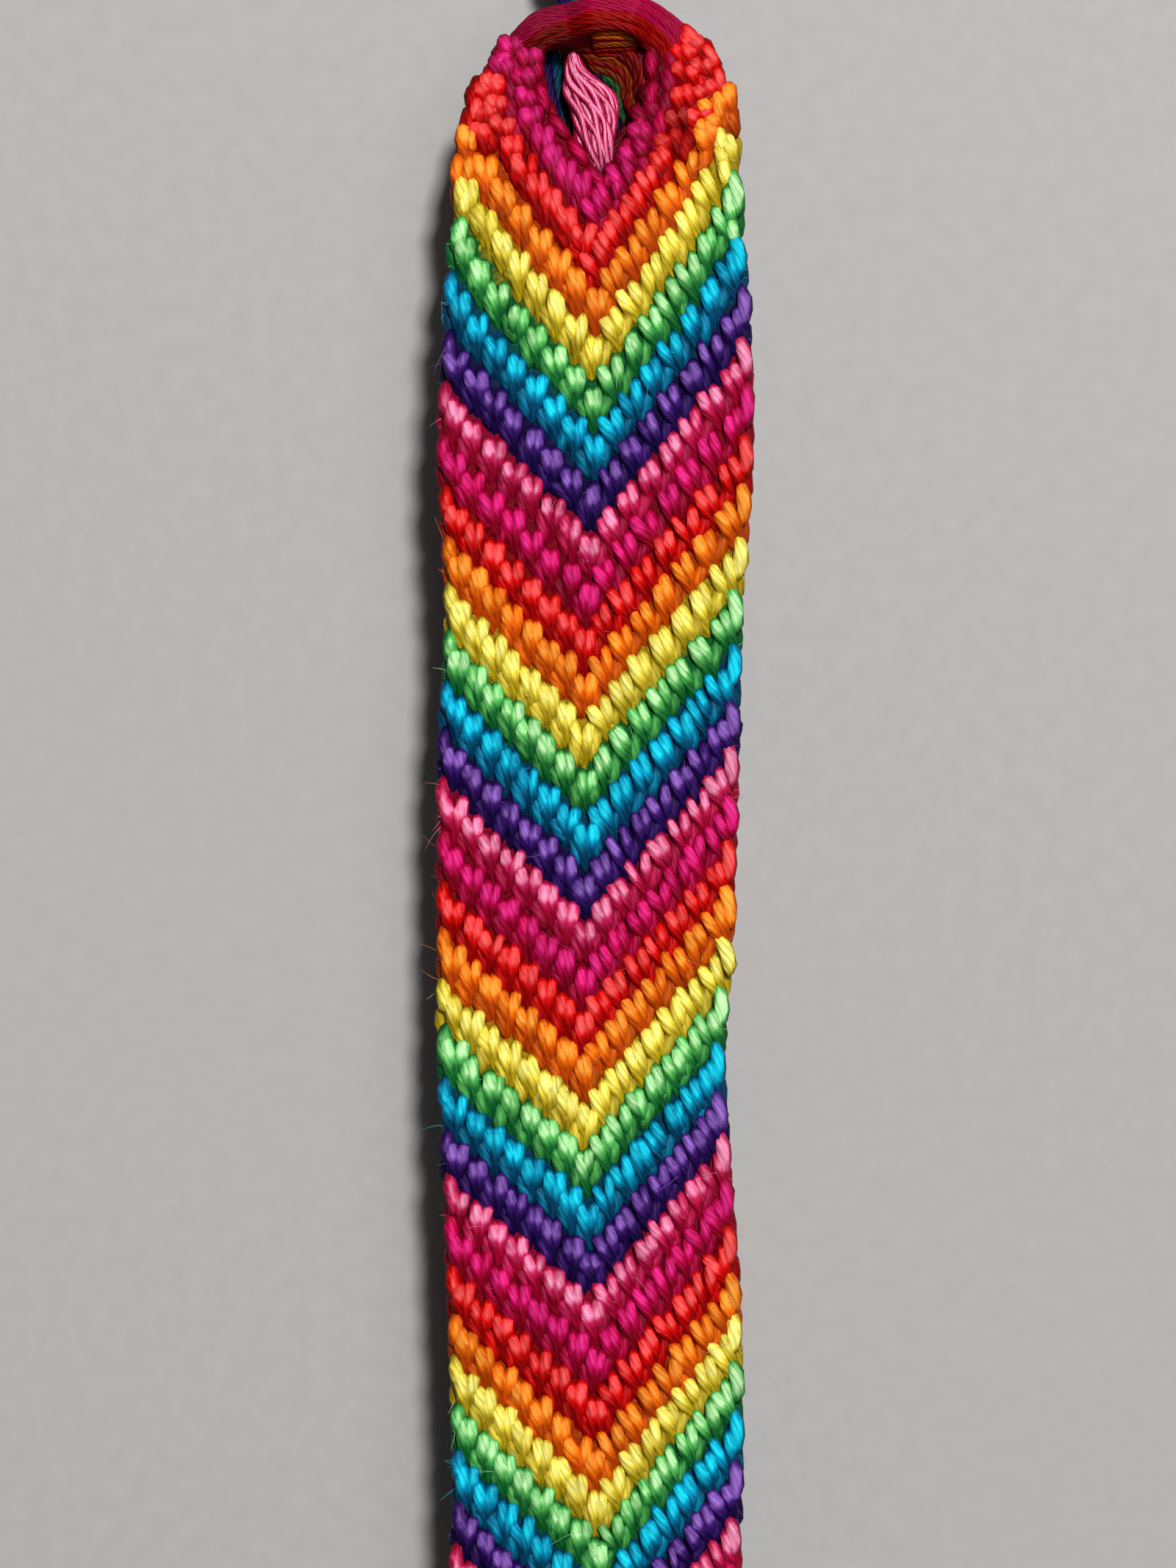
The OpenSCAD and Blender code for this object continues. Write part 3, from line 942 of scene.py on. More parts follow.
@dataclass(frozen=True)
class Core:
    """The closed body of knotting under the wraps, which fills the crevices with painted shade, the rows'
    deepest colour darker still.
    """

    path: BandPath
    outline: LoopOutline
    half_h: float = 0.32
    inset: float = 0.45
    round_r: float = 0.4

    def dyes(self, points: np.ndarray, near: Knots) -> np.ndarray:
        """The nearest knot's crevice colour, darkened further as painted shade, for each place (x, s)."""
        deep = np.array([linear(FLOSS[dye].shade) for dye in DYES]) * 0.6
        closest = [np.argmin((near.x - x) ** 2 + (near.s - s) ** 2) for x, s in points]
        return deep[near.dye[closest]]

    def section(self, count: int) -> np.ndarray:
        """A flat ring with round sides, as (share across from -1 to 1, share of the rounding, height)."""
        flat = np.linspace(-1, 1, count)
        turn = np.linspace(0, math.pi, 7)[1:-1]
        top = np.stack([flat, np.zeros(count), np.full(count, self.half_h)], axis=1)
        side = np.stack([np.ones(5), np.sin(turn), self.half_h * np.cos(turn)], axis=1)
        return np.concatenate([top, side, top[::-1] * [1, 1, -1], side[::-1] * [-1, -1, 1]])

    def band(self, piece: Piece, near: Knots, material: bpy.types.Material) -> bpy.types.Object:
        """Carries the section along the whole band, as wide as the band at each place."""
        s = np.append(np.arange(self.outline.loop_len - self.inset - 0.1, self.path.tail_d - 0.5, 0.6),
                      self.path.tail_d - 0.4)
        ring = self.section(19)
        half_l = self.path.half_width(s, -np.ones_like(s)) - self.inset - self.round_r
        half_r = self.path.half_width(s, np.ones_like(s)) - self.inset - self.round_r
        share, rounding, h = ring.T
        half = np.where(share[None] < 0, half_l[:, None], half_r[:, None])
        x = share[None] * half + rounding[None] * self.round_r
        at = np.broadcast_to(s[:, None], x.shape)
        points = self.path.place(x, at, h[None])
        return self.closed(piece, points, np.stack([x, at], axis=-1), near, material, ends=True)

    def loop(self, piece: Piece, near: Knots, material: bpy.types.Material) -> bpy.types.Object:
        """Carries the section round the loop, from its hole to its outside."""
        turn = np.linspace(0, TAU, 97)[:-1]
        p, q = self.outline.hole(turn), self.outline.outside(turn)
        run = np.linalg.norm(q - p, axis=1)
        ring = self.section(9)
        share, rounding, h = ring.T
        keep = np.minimum(0.45, (self.inset + self.round_r) / run)[:, None]
        reach = 0.5 + share[None] * (0.5 - keep) + rounding[None] * (self.round_r / run)[:, None]
        flat = p[:, None] + (q - p)[:, None] * reach[..., None]
        points = self.path.place(flat[..., 0], flat[..., 1], h[None])
        return self.closed(piece, points, flat, near, material, ends=False)

    def closed(self, piece: Piece, points: np.ndarray, flat: np.ndarray, near: Knots,
               material: bpy.types.Material, ends: bool) -> bpy.types.Object:
        """Makes the mesh of rings.

        Args:
            piece: what it is called.
            points: [ring, point, xyz] in millimetres.
            flat: the same points as (x, s).
            near: knots from which each point takes its dye.
            material: the finish.
            ends: True for a bar with two ends, which poles close, and False for rings that go round.

        Returns:
            The object.
        """
        rings, around, _ = points.shape
        body = Strands(points[None], points[[0, -1]].mean(axis=1)[None], np.zeros((1, rings + 2)),
                       np.zeros((1, rings + 2)))
        quads, tris, uv = body.corners()
        flat_all = np.concatenate([flat.reshape(-1, 2), flat[[0, -1]].mean(axis=1)])
        places = body.points()
        if not ends:
            last = (rings - 1) * around + np.arange(around)
            nxt = np.roll(np.arange(around), -1)
            seam = np.stack([last, last[nxt], nxt, np.arange(around)], axis=1)
            quads = np.concatenate([quads, seam])
            uv = np.concatenate([uv[:(len(quads) - around) * 4], np.zeros((around * 4, 2))])
            tris = np.zeros((0, 3), int)
            places, flat_all = places[:-2], flat_all[:-2]
        # The dye mark holds painted shade: each row's crevice colour, darker still
        return piece.made(places, quads, tris, uv, {"dye": self.dyes(flat_all, near)}, material)


def carried(path: np.ndarray, side: np.ndarray, half_w: np.ndarray, half_h: np.ndarray, plies: int,
            pitch: float, lobe: float, around: int, start: np.ndarray,
            crown: tuple[float, float] = (0.25, 0.9)) -> Strands:
    """Carries a string's section along its path: an ellipse with a lobe for each ply, and the lobes turn as
    it goes.

    Args:
        path: [string, station, xyz] in millimetres.
        side: the direction from which the section's first axis is taken.
        half_w: [string, station] half width along that axis.
        half_h: [string, station] half height along the other.
        plies: lobes in a section.
        pitch: length of a turn of the lobes.
        lobe: depth of the grooves between lobes, as a share of the radius.
        around: points in a ring.
        start: [string] turn of the lobes at the start.
        crown: the mark crown in a groove and on a lobe, shown as painted shade and painted highlight.

    Returns:
        The strings, with the mark crown.
    """
    steps = np.gradient(path, axis=1)
    lengths = np.linalg.norm(np.diff(path, axis=1), axis=2)
    run = np.concatenate([np.zeros((len(path), 1)), np.cumsum(lengths, axis=1)], axis=1)
    ahead = steps / np.linalg.norm(steps, axis=2, keepdims=True)
    first = side - ahead * np.sum(side * ahead, axis=2, keepdims=True)
    first /= np.linalg.norm(first, axis=2, keepdims=True)
    second = np.cross(ahead, first)
    turn = np.arange(around)[None, None] * TAU / around
    wave = np.abs(np.sin(plies / 2 * (turn - start[:, None, None] - (run / pitch * TAU)[..., None])))
    radius = 1 - lobe + lobe * wave
    rings = (path[:, :, None] + first[:, :, None] * (half_w[..., None] * radius * np.cos(turn))[..., None]
             + second[:, :, None] * (half_h[..., None] * radius * np.sin(turn))[..., None])
    outwards = np.array([-1, 1])[None, :, None]
    poles = path[:, [0, -1]] + ahead[:, [0, -1]] * 0.3 * half_w[:, [0, -1]][..., None] * outwards
    turned = -start[:, None] / TAU - run / pitch - run / PLY_TWIST
    ends = [0, *range(path.shape[1]), -1]
    low, high = crown
    return Strands(rings, poles, turned[:, ends], run[:, ends], {"crown": low + (high - low) * wave},
                   {"crown": np.full((len(path), 2), low)})


def toned_and_shaded(strands: Strands, rng: np.random.Generator, dim: float | np.ndarray = 0.0) -> Strands:
    """Gives each strand its own tone, lower by dim (one for all, one a strand or one a ring) where little
    light comes."""
    n, rings, around, _ = strands.rings.shape
    dim = np.asarray(dim)
    tone = rng.uniform(-1, 1, n)[:, None] - np.broadcast_to(dim[:, None] if dim.ndim == 1 else dim,
                                                            (n, rings))
    strands.marks["tone"] = np.broadcast_to(tone[:, :, None], (n, rings, around))
    strands.pole_marks["tone"] = tone[:, [0, -1]]
    return strands


@dataclass(frozen=True)
class BareRim:
    """The bare stretch of the loop round the far side of its hole, where its strings aren't knotted, and
    those of its strings that show low on the hole's wall."""

    path: BandPath
    outline: LoopOutline
    # The bundle's middle (x, s) and its half width
    line: tuple = (
        (-4.5, 3.2, .5), (-3.95, 2.0, .65), (-2.75, 1.1, .75), (-1.4, .72, .68), (0, .64, .64),
        (1.4, .66, .68), (2.9, .92, .85), (4.0, 1.6, .92), (4.7, 2.9, .8))
    # Each string's dye and its place round the bundle, in degrees from the outer edge over the top
    strings: tuple = (
        (Dye.PURPLE, 0), (Dye.MAGENTA, 28), (Dye.MAGENTA, 55), (Dye.MAGENTA, 82), (Dye.MAGENTA, 108),
        (Dye.RED, 136), (Dye.MAGENTA, 165), (Dye.RED, 195), (Dye.ORANGE, 225), (Dye.PINK, 255),
        (Dye.TEAL, 290), (Dye.PURPLE, 330))
    # Strings on the wall: dye, share of the way out from the hole's middle, height, first and last turn
    # round the hole
    wall: tuple = (
        (Dye.MAGENTA, 1.0, -.35, 150, 60), (Dye.RED, .95, -.3, 218, 78), (Dye.RED, .87, -.55, 214, 76),
        (Dye.ORANGE, .79, -.85, 208, 74), (Dye.RED, .71, -1.05, 204, 72),
        (Dye.ORANGE, .62, -1.25, 198, 84), (Dye.GREEN, .52, -1.5, 190, 66),
        (Dye.PURPLE, .4, -1.8, 186, 60), (Dye.PURPLE, .72, -1.75, 120, 30),
        (Dye.MAGENTA, .9, -1.2, 110, 30))
    # Strings on top, which lie over the tie: dye, and place across the bundle in shares of its half width
    # (towards the hole is negative); where the tie's left and right edges are, and how far it lifts them
    top: tuple = (
        (Dye.MAGENTA, 1.0), (Dye.MAGENTA, .66), (Dye.MAGENTA, .34), (Dye.MAGENTA, .02), (Dye.RED, -.3),
        (Dye.RED, -.62), (Dye.RED, -.92), (Dye.RED, -1.2))
    tie_edges: tuple[float, float] = (-0.1, 1.95)
    tie_lift: float = 1.05
    middle: tuple[float, float] = (-0.1, 4.9)
    half_h: float = 0.5
    string_r: float = 0.3
    twist: float = -0.25
    stations: int = 60
    around: int = 12

    def lay(self, flat: np.ndarray, h: np.ndarray, size: np.ndarray, crown: tuple[float, float],
            dim: float | np.ndarray, rng: np.random.Generator) -> Strands:
        """Carries strings along lines on the loop.

        Args:
            flat: [string, station, (x, s)].
            h: [string, station] height.
            size: [string, station] radius.
            crown: the mark crown in a groove between plies and on a ply.
            dim: how much darker than others they are, as painted shade; a negative dim is a painted
                highlight.
            rng: the source of chance.

        Returns:
            The strings.
        """
        path = self.path.place(flat[..., 0], flat[..., 1], h)
        return toned_and_shaded(carried(path, Z_AXIS, size, size, 6, 4.2, 0.14, self.around,
                             rng.uniform(0, TAU, len(path)), crown), rng, dim)

    def round_rim(self) -> tuple[np.ndarray, ...]:
        """The bundle's middle, its half width and its direction at even stations from left to right: x, s,
        half, way."""
        places, _ = along(np.array(self.line), 0.2)
        f = np.linspace(0, len(places) - 1, self.stations)
        x, s, half = (np.interp(f, np.arange(len(places)), places[:, k]) for k in range(3))
        for _ in range(3):
            x[1:-1], s[1:-1] = (np.convolve(v, (0.25, 0.5, 0.25), "valid") for v in (x, s))
        way = np.stack([np.gradient(x), np.gradient(s)], axis=1)
        return x, s, half, way / np.linalg.norm(way, axis=1, keepdims=True)

    def over_tie(self, rng: np.random.Generator) -> tuple[Strands, np.ndarray]:
        """The strings on top: they follow the rim side by side on its round top, and rise in soft steps
        over the tie."""
        x, s, half, way = self.round_rim()
        share = np.linspace(-1, 1, self.stations)
        place = np.array([k[1] for k in self.top])[:, None]
        left, right = self.tie_edges
        lift = smooth(x, left - 1.5, left) * (1 - smooth(x, right, right + 1.5))
        across = place * half + 0.06 * np.sin(7 * share + 11 * place)
        crest = 0.92 * np.sqrt(np.maximum(0.1, 1 - (across / (half + 0.34)) ** 2))
        h = crest + self.tie_lift * lift - 0.6 * smooth(np.abs(share), 0.55, 0.95)
        flat = np.stack([x + across * way[:, 1], s - across * way[:, 0]], axis=-1)
        # Painted shade towards the hole and at the left end; a painted highlight near x 2.3 on the outer
        # strings
        dim = (0.7 + 3.0 * smooth(-place, -0.3, 0.7) + 1.7 * (1 - smooth(share, -0.5, 0.0))
               - 1.1 * np.exp(-((x - 2.3) / 0.9) ** 2) * smooth(place, -0.2, 0.5))
        strands = self.lay(flat, h, np.full(h.shape, 0.24), (0.08, 0.5), dim, rng)
        return strands, numbers(self.top)

    def rim(self, rng: np.random.Generator) -> tuple[Strands, np.ndarray]:
        """The bundle round the rim: its strings stand on an ellipse about its middle, which turns slowly
        along it."""
        x, s, half, way = self.round_rim()
        share = np.linspace(-1, 1, self.stations)
        angle = np.radians([k[1] for k in self.strings])[:, None] + self.twist * TAU * share * 0.5
        angle = angle + rng.normal(0, 0.06, angle.shape[:1])[:, None]
        across = half * np.cos(angle) + 0.05 * np.sin(9 * share + 5 * angle[:, :1])
        ends = smooth(np.abs(share), 0.7, 1.0)
        h = self.half_h * np.sin(angle) - 0.45 * ends
        flat = np.stack([x + across * way[:, 1], s - across * way[:, 0]], axis=-1)
        # Painted shade on the bundle's inner strings and at its left end; a lighter right end as a painted
        # highlight
        inner = smooth(np.array([k[1] for k in self.strings]), 80, 180)[:, None]
        dim = 0.6 + 2.6 * inner + 1.6 * (1 - smooth(share, -0.5, 0.1)) - 0.6 * smooth(share, 0.15, 0.5)
        strands = self.lay(flat, h, np.full(h.shape, self.string_r), (0.08, 0.45), dim, rng)
        return strands, numbers(self.strings)

    def low(self, rng: np.random.Generator) -> tuple[Strands, np.ndarray]:
        """The strings on the wall: lines drawn in from the hole's outline towards its middle, most of them
        deeper than the one before."""
        f = np.linspace(0, 1, self.stations)
        flat, h = [], []
        for _, out, height, first, last in self.wall:
            edge = self.outline.hole(np.radians(first + (last - first) * f))
            share = out + 0.35 * smooth(np.abs(2 * f - 1), 0.55, 1.0)
            flat.append(np.array(self.middle) + (edge - self.middle) * share[:, None])
            h.append(height - 0.5 * smooth(np.abs(2 * f - 1), 0.6, 1.0))
        h = np.array(h)
        # Painted shade: the wall's strings get a low crown and a much darker tone, green and purple most
        dim = np.array([4.6 if k[0] in (Dye.GREEN, Dye.PURPLE) else 3.9 for k in self.wall])
        strands = self.lay(np.array(flat), h, np.full(h.shape, 0.34), (0.0, 0.26), dim, rng)
        return strands, numbers(self.wall)


@dataclass(frozen=True)
class TieStrings:
    """The bare strings that leave the band's tail, pass up through the loop and meet in the closing knot."""

    path: BandPath
    stations: int = 96
    around: int = 18
    # Distance from the rim, across, share of the way up from the lower to the upper layer, half width, half
    # height
    under: tuple = (
        (-1.9, -.6, .57, 1.6, 1.0), (0, -1.1, .52, 1.55, 1.0), (1.4, -1.25, .56, 1.5, .95),
        (3, -1.15, .68, 1.5, 1.0), (4.4, -.95, .735, 1.55, 1.1), (6, -.5, .75, 1.8, 1.1),
        (9, -.2, .645, 1.8, 1.1), (12, -.4, .535, 1.9, 1.1), (15, -.6, .36, 2.0, 1.1),
        (19, -.7, .09, 2.2, 1.0), (22, -.8, 0, 2.4, .8))
    # The second bundle, which passes over the rim, in the same columns
    over_rim: tuple = (
        (-1.9, .6, 1.0, .9, .45), (-.8, .85, 1.15, .9, .38), (.3, .95, 1.23, .95, .36),
        (1.3, 1.0, 1.17, .98, .38), (2.1, 1.1, .92, .98, .42), (3.2, 1.35, .62, .95, .5),
        (4.6, 1.5, .42, .9, .5), (6, 1.5, .34, .9, .5), (9, 1.6, .27, .95, .5), (12, 2.0, .22, .95, .5),
        (15, 2.4, .15, .95, .5), (19, 2.65, .05, .95, .5), (22, 2.75, 0, .95, .5))
    # Dye, and the string's place in its bundle as shares of its half width and half height
    under_strings: tuple = (
        (Dye.PURPLE, -.98, -.1), (Dye.TEAL, -.75, -.55), (Dye.PURPLE, .95, .2), (Dye.GREEN, .8, -.4),
        (Dye.ORANGE, -.25, -.1), (Dye.ORANGE, .15, -.2), (Dye.YELLOW, .5, -.25), (Dye.GREEN, -.3, -.7),
        (Dye.YELLOW, .15, -.8), (Dye.PURPLE, .55, -.7))
    over_strings: tuple = (
        (Dye.MAGENTA, -1, .1), (Dye.MAGENTA, -.5, .4), (Dye.RED, 0, -.3), (Dye.MAGENTA, 0, .5),
        (Dye.MAGENTA, .5, .4), (Dye.MAGENTA, 1, .1))
    # The pink strings, whose plies lie loose on top in the hole: distance from the rim, left and right edge
    pink: tuple = (
        (-1.9, -1.4, -.5), (.2, -1.35, -.7), (1.7, -1.3, -.95), (2.4, -1.55, -.75), (3.3, -1.72, -.25),
        (4.4, -1.7, 1.05), (5.7, -1.35, 1.3), (7.2, -1.1, 1.1), (8.3, -.85, 1.0), (9.2, -.6, .8),
        (11, -.7, .5), (14, -.9, .4), (22, -.9, .4))
    whipped: float = 2.5
    whip_gap: float = 0.18
    whip_r: float = 0.16
    pink_plies: int = 40
    ply_pitch: float = 15.0
    ply_r: float = 0.19

    def middle(self, table: tuple, d: np.ndarray) -> tuple[np.ndarray, ...]:
        """A bundle's middle and half sizes at distances from the rim: x, z, half width, half height."""
        upper = self.path.upper_at(d)
        z = self.path.under_z + look_up(table, d, 2) * (upper - self.path.under_z)
        return look_up(table, d, 1), z, look_up(table, d, 3), look_up(table, d, 4)

    def bundle(self, table: tuple, strings: tuple, flat: tuple[float, float], crown: tuple[float, float],
               dim: float, half_turns: float, rng: np.random.Generator) -> tuple[Strands, np.ndarray]:
        """Strings that keep their places in a bundle and wander a little, and turn over together under the
        rim.

        Args:
            table: the bundle's own path.
            strings: each string's dye and place in the bundle.
            flat: half width and half height of a string.
            crown: the mark crown in a groove between plies and on a ply.
            dim: how much darker than others they are where they lie in the hole, as painted shade.
            half_turns: how far the bundle turns over under the rim.
            rng: the source of chance.

        Returns:
            The strings, and their dyes as numbers.
        """
        d = np.linspace(-2.6, self.path.tie_len + 0.5, self.stations)
        x, z, half_w, half_h = self.middle(table, d)
        over = half_turns * math.pi * smooth(-d, -1.6, 2.4)
        seat_x, seat_z = (np.array([k[i] for k in strings])[:, None] for i in (1, 2))
        across = seat_x * np.cos(over) - seat_z * np.sin(over)
        up = seat_x * np.sin(over) + seat_z * np.cos(over)
        phase = rng.uniform(0, TAU, (len(strings), 2, 1))
        wander = 0.1 * np.sin(d[None, None] * 0.8 + phase)
        px = x + across * (half_w - 0.3 * flat[0]) + wander[:, 0]
        pz = z + up * (half_h - 0.3 * flat[1]) + 0.4 * wander[:, 1]
        py = np.broadcast_to(self.path.rim_y - d, px.shape)
        strands = carried(np.stack([px, py, pz], axis=-1), X_AXIS, np.full(px.shape, flat[0]),
                          np.full(px.shape, flat[1]), 6, 4.2, 0.16, self.around,
                          rng.uniform(0, TAU, len(strings)), crown)
        # Painted shade: the strings darken in the hole, the teal ones most
        in_hole = (0.12 + 0.88 * smooth(d, -0.6, 0.8)) * (1 - smooth(d, 9, 12))
        dye = numbers(strings)
        deeper = np.where(dye == Dye.TEAL.number, 1.2, 1.0)[:, None]
        return toned_and_shaded(strands, rng, dim * deeper * in_hole), dye

    def whipping(self, rng: np.random.Generator) -> tuple[Strands, np.ndarray]:
        """The thread wound round the strings that cross the rim: turns side by side, each a squared ellipse
        that overlaps itself underneath and moves on along the strings by one gap as it goes round."""
        start = np.arange(-1.2, self.whipped, self.whip_gap)
        n = len(start)
        turn = np.linspace(-0.58, 0.58, 64) * TAU + TAU / 4
        slant = rng.normal(0, 0.08, (n, 1)) * np.cos(turn)
        d = start[:, None] + self.whip_gap * turn[None] / TAU + rng.normal(0, 0.05, (n, 1)) + slant
        x, z, half_w, half_h = self.middle(self.over_rim, d)
        blunt = (np.abs(np.cos(turn)) ** 2.6 + np.abs(np.sin(turn)) ** 2.6) ** (-1 / 2.6)
        path = np.stack([x + (half_w + 0.1) * blunt * np.cos(turn), self.path.rim_y - d,
                         z + (half_h + 0.04) * blunt * np.sin(turn) + rng.normal(0, 0.03, (n, 1))], axis=-1)
        size = self.whip_r * rng.uniform(0.75, 1.15, (n, 1)) * np.ones_like(d)
        strands = carried(path, Y_AXIS, size, size, 4, 2.4, 0.12, 10, rng.uniform(0, TAU, n), (0.2, 0.5))
        shift = start + rng.normal(0, 0.2, n)
        dye = np.where(shift < 0.3, Dye.MAGENTA.number, Dye.RED.number)
        dye[(shift > 1.3) & (rng.uniform(0, 1, n) < 0.4)] = Dye.ORANGE.number
        # Painted shade: the turns further along the strings are darker
        return toned_and_shaded(strands, rng, 0.4 + 2.0 * smooth(start, 0.1, 0.7) + 1.2 * smooth(start, 0.8, 1.8)), dye

    def pinks(self, rng: np.random.Generator) -> Strands:
        """The plies of the pink strings: each winds round an ellipse as wide as the bundle, once in
        ply_pitch."""
        d = np.linspace(-2.6, self.path.tie_len + 0.5, 2 * self.stations)
        _, z, _, half_h = self.middle(self.under, d)
        left, right = look_up(self.pink, d, 1), look_up(self.pink, d, 2)
        start = (np.arange(self.pink_plies) + rng.uniform(-0.3, 0.3, self.pink_plies)) * TAU / self.pink_plies
        angle = start[:, None] - d * TAU / self.ply_pitch + 0.2 * np.sin(d * 1.5 + 7 * start[:, None])
        inner = (np.arange(self.pink_plies) % 3 == 0)[:, None]
        loose = np.where(inner, 0.5, 1) * rng.uniform(0.82, 1.08, (self.pink_plies, 1))
        x = (left + right) / 2 + np.maximum(0.1, (right - left) / 2 - self.ply_r) * loose * np.cos(angle)
        bulge = (0.85 * np.exp(-((d - 7.5) / 1.5) ** 2) - 1.2 * smooth(d, 8.4, 9.3) * (1 - smooth(d, 10, 14))
                 - 0.9 * smooth(-d, -1.2, 0.2))
        up = z + half_h - 0.25 + bulge + (0.28 + 0.1 * (right - left)) * loose * np.sin(angle)
        path = np.stack([x, np.broadcast_to(self.path.rim_y - d, x.shape), up], axis=-1)
        size = self.ply_r * rng.uniform(0.75, 1.1, (self.pink_plies, 1)) * np.where(inner, 1.5, 1)
        size = np.broadcast_to(size, x.shape)
        strands = carried(path, X_AXIS, size, size, 2, 2.2, 0.0, 8, rng.uniform(0, TAU, len(path)),
                          (0.85, 1.0))
        # Painted highlight: each ply is pale only on its upper side
        facing = np.maximum(0, np.sin(np.arange(8) * TAU / 8)) ** 3
        strands.marks["crown"] = np.broadcast_to(0.84 * facing, strands.marks["crown"].shape)
        return toned_and_shaded(strands, rng, rng.uniform(-0.4, 1.0, self.pink_plies))


@dataclass(frozen=True)
class ClosingKnot:
    """The plain knot past the rim: the strings go round it twice, side by side."""

    centre: tuple[float, float, float] = (0.0, 39.9, 4.0)
    wrap_r: float = 1.8
    bundle_r: float = 0.6
    string_r: float = 0.4
    wrap_gap: float = 1.95
    tilt: float = 9.0
    around: int = 12
    stations: int = 84
    dyes: tuple = (Dye.RED, Dye.PINK, Dye.TEAL, Dye.ORANGE, Dye.PURPLE, Dye.YELLOW)

    def wraps(self, rng: np.random.Generator) -> tuple[Strands, np.ndarray]:
        """Six strings for each wrap, twisted round a circle: a circle of radius wrap_r, from which each
        string keeps the distance bundle_r in a direction that turns once as it goes round."""
        turn = np.linspace(0, TAU * 1.04, self.stations)
        paths, dyes = [], []
        for w, side in enumerate((-0.5, 0.5)):
            for k, dye in enumerate(self.dyes):
                phase = turn + k * TAU / 6 + w
                radius = self.wrap_r + self.bundle_r * np.cos(phase)
                start = turn + math.pi * (0.6 + w)
                x, z = radius * np.cos(start), radius * np.sin(start)
                y = (side * self.wrap_gap + self.bundle_r * np.sin(phase)
                     + math.radians(self.tilt) * x * (1 if w else -1))
                paths.append(np.stack([x, y, z], axis=-1) + self.centre)
                dyes.append(dye.number)
        path = np.array(paths)
        size = np.full(path.shape[:2], self.string_r)
        strands = carried(path, Y_AXIS, size, size, 6, 4.0, 0.15, self.around, rng.uniform(0, TAU, len(path)))
        return toned_and_shaded(strands, rng), np.array(dyes)

    def through(self, rng: np.random.Generator) -> tuple[Strands, np.ndarray]:
        """Strings that run through the middle of the knot and fill it."""
        y = np.linspace(-2.3, 2.6, 24)
        angle = np.arange(8) * TAU / 8
        x = 0.95 * np.cos(angle)[:, None] * (1 + 0.15 * y ** 2 / 4)
        z = 0.95 * np.sin(angle)[:, None] * np.ones_like(y)
        path = np.stack(np.broadcast_arrays(x, y, z), axis=-1) + self.centre
        size = np.full(path.shape[:2], self.string_r)
        strands = carried(path, X_AXIS, size, size, 6, 4.0, 0.15, self.around, rng.uniform(0, TAU, 8))
        return toned_and_shaded(strands, rng), np.arange(8)


@dataclass(frozen=True)
class TrimmedEnds:
    """The two short tails, eight strings each, cut off unevenly and a little frayed."""

    path: BandPath
    root_y: float = 42.0
    length: float = 10.0
    knot_z: float = 4.0
    root_x: float = 0.95
    tips: tuple[float, float] = (-3.0, 2.7)
    string_r: float = 0.36
    around: int = 12
    stations: int = 44
    fray: float = 1.5

    def strings(self, side: int, rng: np.random.Generator) -> tuple[Strands, np.ndarray, np.ndarray]:
        """One tail's strings, which droop from the knot to the floor and spread.

        Args:
            side: -1 for the left tail, 1 for the right one.
            rng: the source of chance.

        Returns:
            The strings, their dyes as numbers, and the last two stations of each.
        """
        tip = self.tips[0] if side < 0 else self.tips[1]
        cut = rng.uniform(0.84, 0.93, 8)[:, None]
        f = np.linspace(-0.08, 1, self.stations)[None] * cut
        ahead = np.maximum(0, f)
        half_h = 1.0 - 0.15 * ahead
        half_w = 0.8 + 0.6 * ahead
        z = half_h + (self.knot_z - 1.0) * np.maximum(0, 1 - ahead / 0.85) ** 1.8
        x = side * self.root_x + (tip - side * self.root_x) * ahead ** 1.2
        seat = np.array([(-.9, -.35), (-.55, .45), (-.15, -.5), (.05, .75), (.35, -.3), (.55, .5),
                         (.95, -.2), (-.35, -.05)])
        px = x + seat[:, :1] * (half_w - 0.2) + 0.1 * np.sin(9 * f + seat[:, 1:] * 6)
        pz = np.maximum(z + seat[:, 1:] * (half_h - 0.3), self.string_r)
        py = self.root_y + self.length * f
        path = np.stack(np.broadcast_arrays(px, py, pz), axis=-1)
        size = np.full(path.shape[:2], self.string_r) * (1 + 0.12 * smooth(f, 0.7, 0.95))
        strands = carried(path, X_AXIS, size, size, 6, 4.2, 0.16, self.around, rng.uniform(0, TAU, 8))
        return toned_and_shaded(strands, rng), np.arange(8) if side < 0 else np.arange(8)[::-1], path[:, -2:]

    def brushes(self, ends: np.ndarray, dyes: np.ndarray,
                rng: np.random.Generator) -> tuple[Strands, np.ndarray]:
        """The frayed plies past each cut: they go on ahead, and spread with the square of the distance."""
        n, plies, stations = len(ends), 6, 7
        base = ends[:, -1][:, None]
        ahead = ends[:, -1] - ends[:, -2]
        ahead = (ahead / np.linalg.norm(ahead, axis=1, keepdims=True))[:, None]
        angle = (np.arange(plies) * TAU / plies)[None] + rng.uniform(0, TAU, (n, 1))
        out = np.stack([np.cos(angle), np.zeros_like(angle), np.sin(angle)], axis=-1)
        reach = self.fray * rng.uniform(0.45, 1.0, (n, plies, 1, 1))
        t = np.linspace(0, 1, stations)[None, None, :, None]
        spread = rng.uniform(0.15, 0.6, (n, plies, 1, 1))
        path = (base[:, :, None] + ahead[:, :, None] * (t * reach - 0.25)
                + out[:, :, None] * (0.2 + spread * t * t))
        path[..., 2] = np.maximum(path[..., 2], 0.12)
        path[..., 1] = np.minimum(path[..., 1], self.root_y + self.length + 0.4)
        path = path.reshape(n * plies, stations, 3)
        size = np.full(path.shape[:2], 0.12) * np.linspace(1, 0.6, stations)
        strands = carried(path, X_AXIS, size, size, 2, 4.0, 0.0, 6, np.zeros(len(path)))
        return toned_and_shaded(strands, rng), np.repeat(dyes, plies)


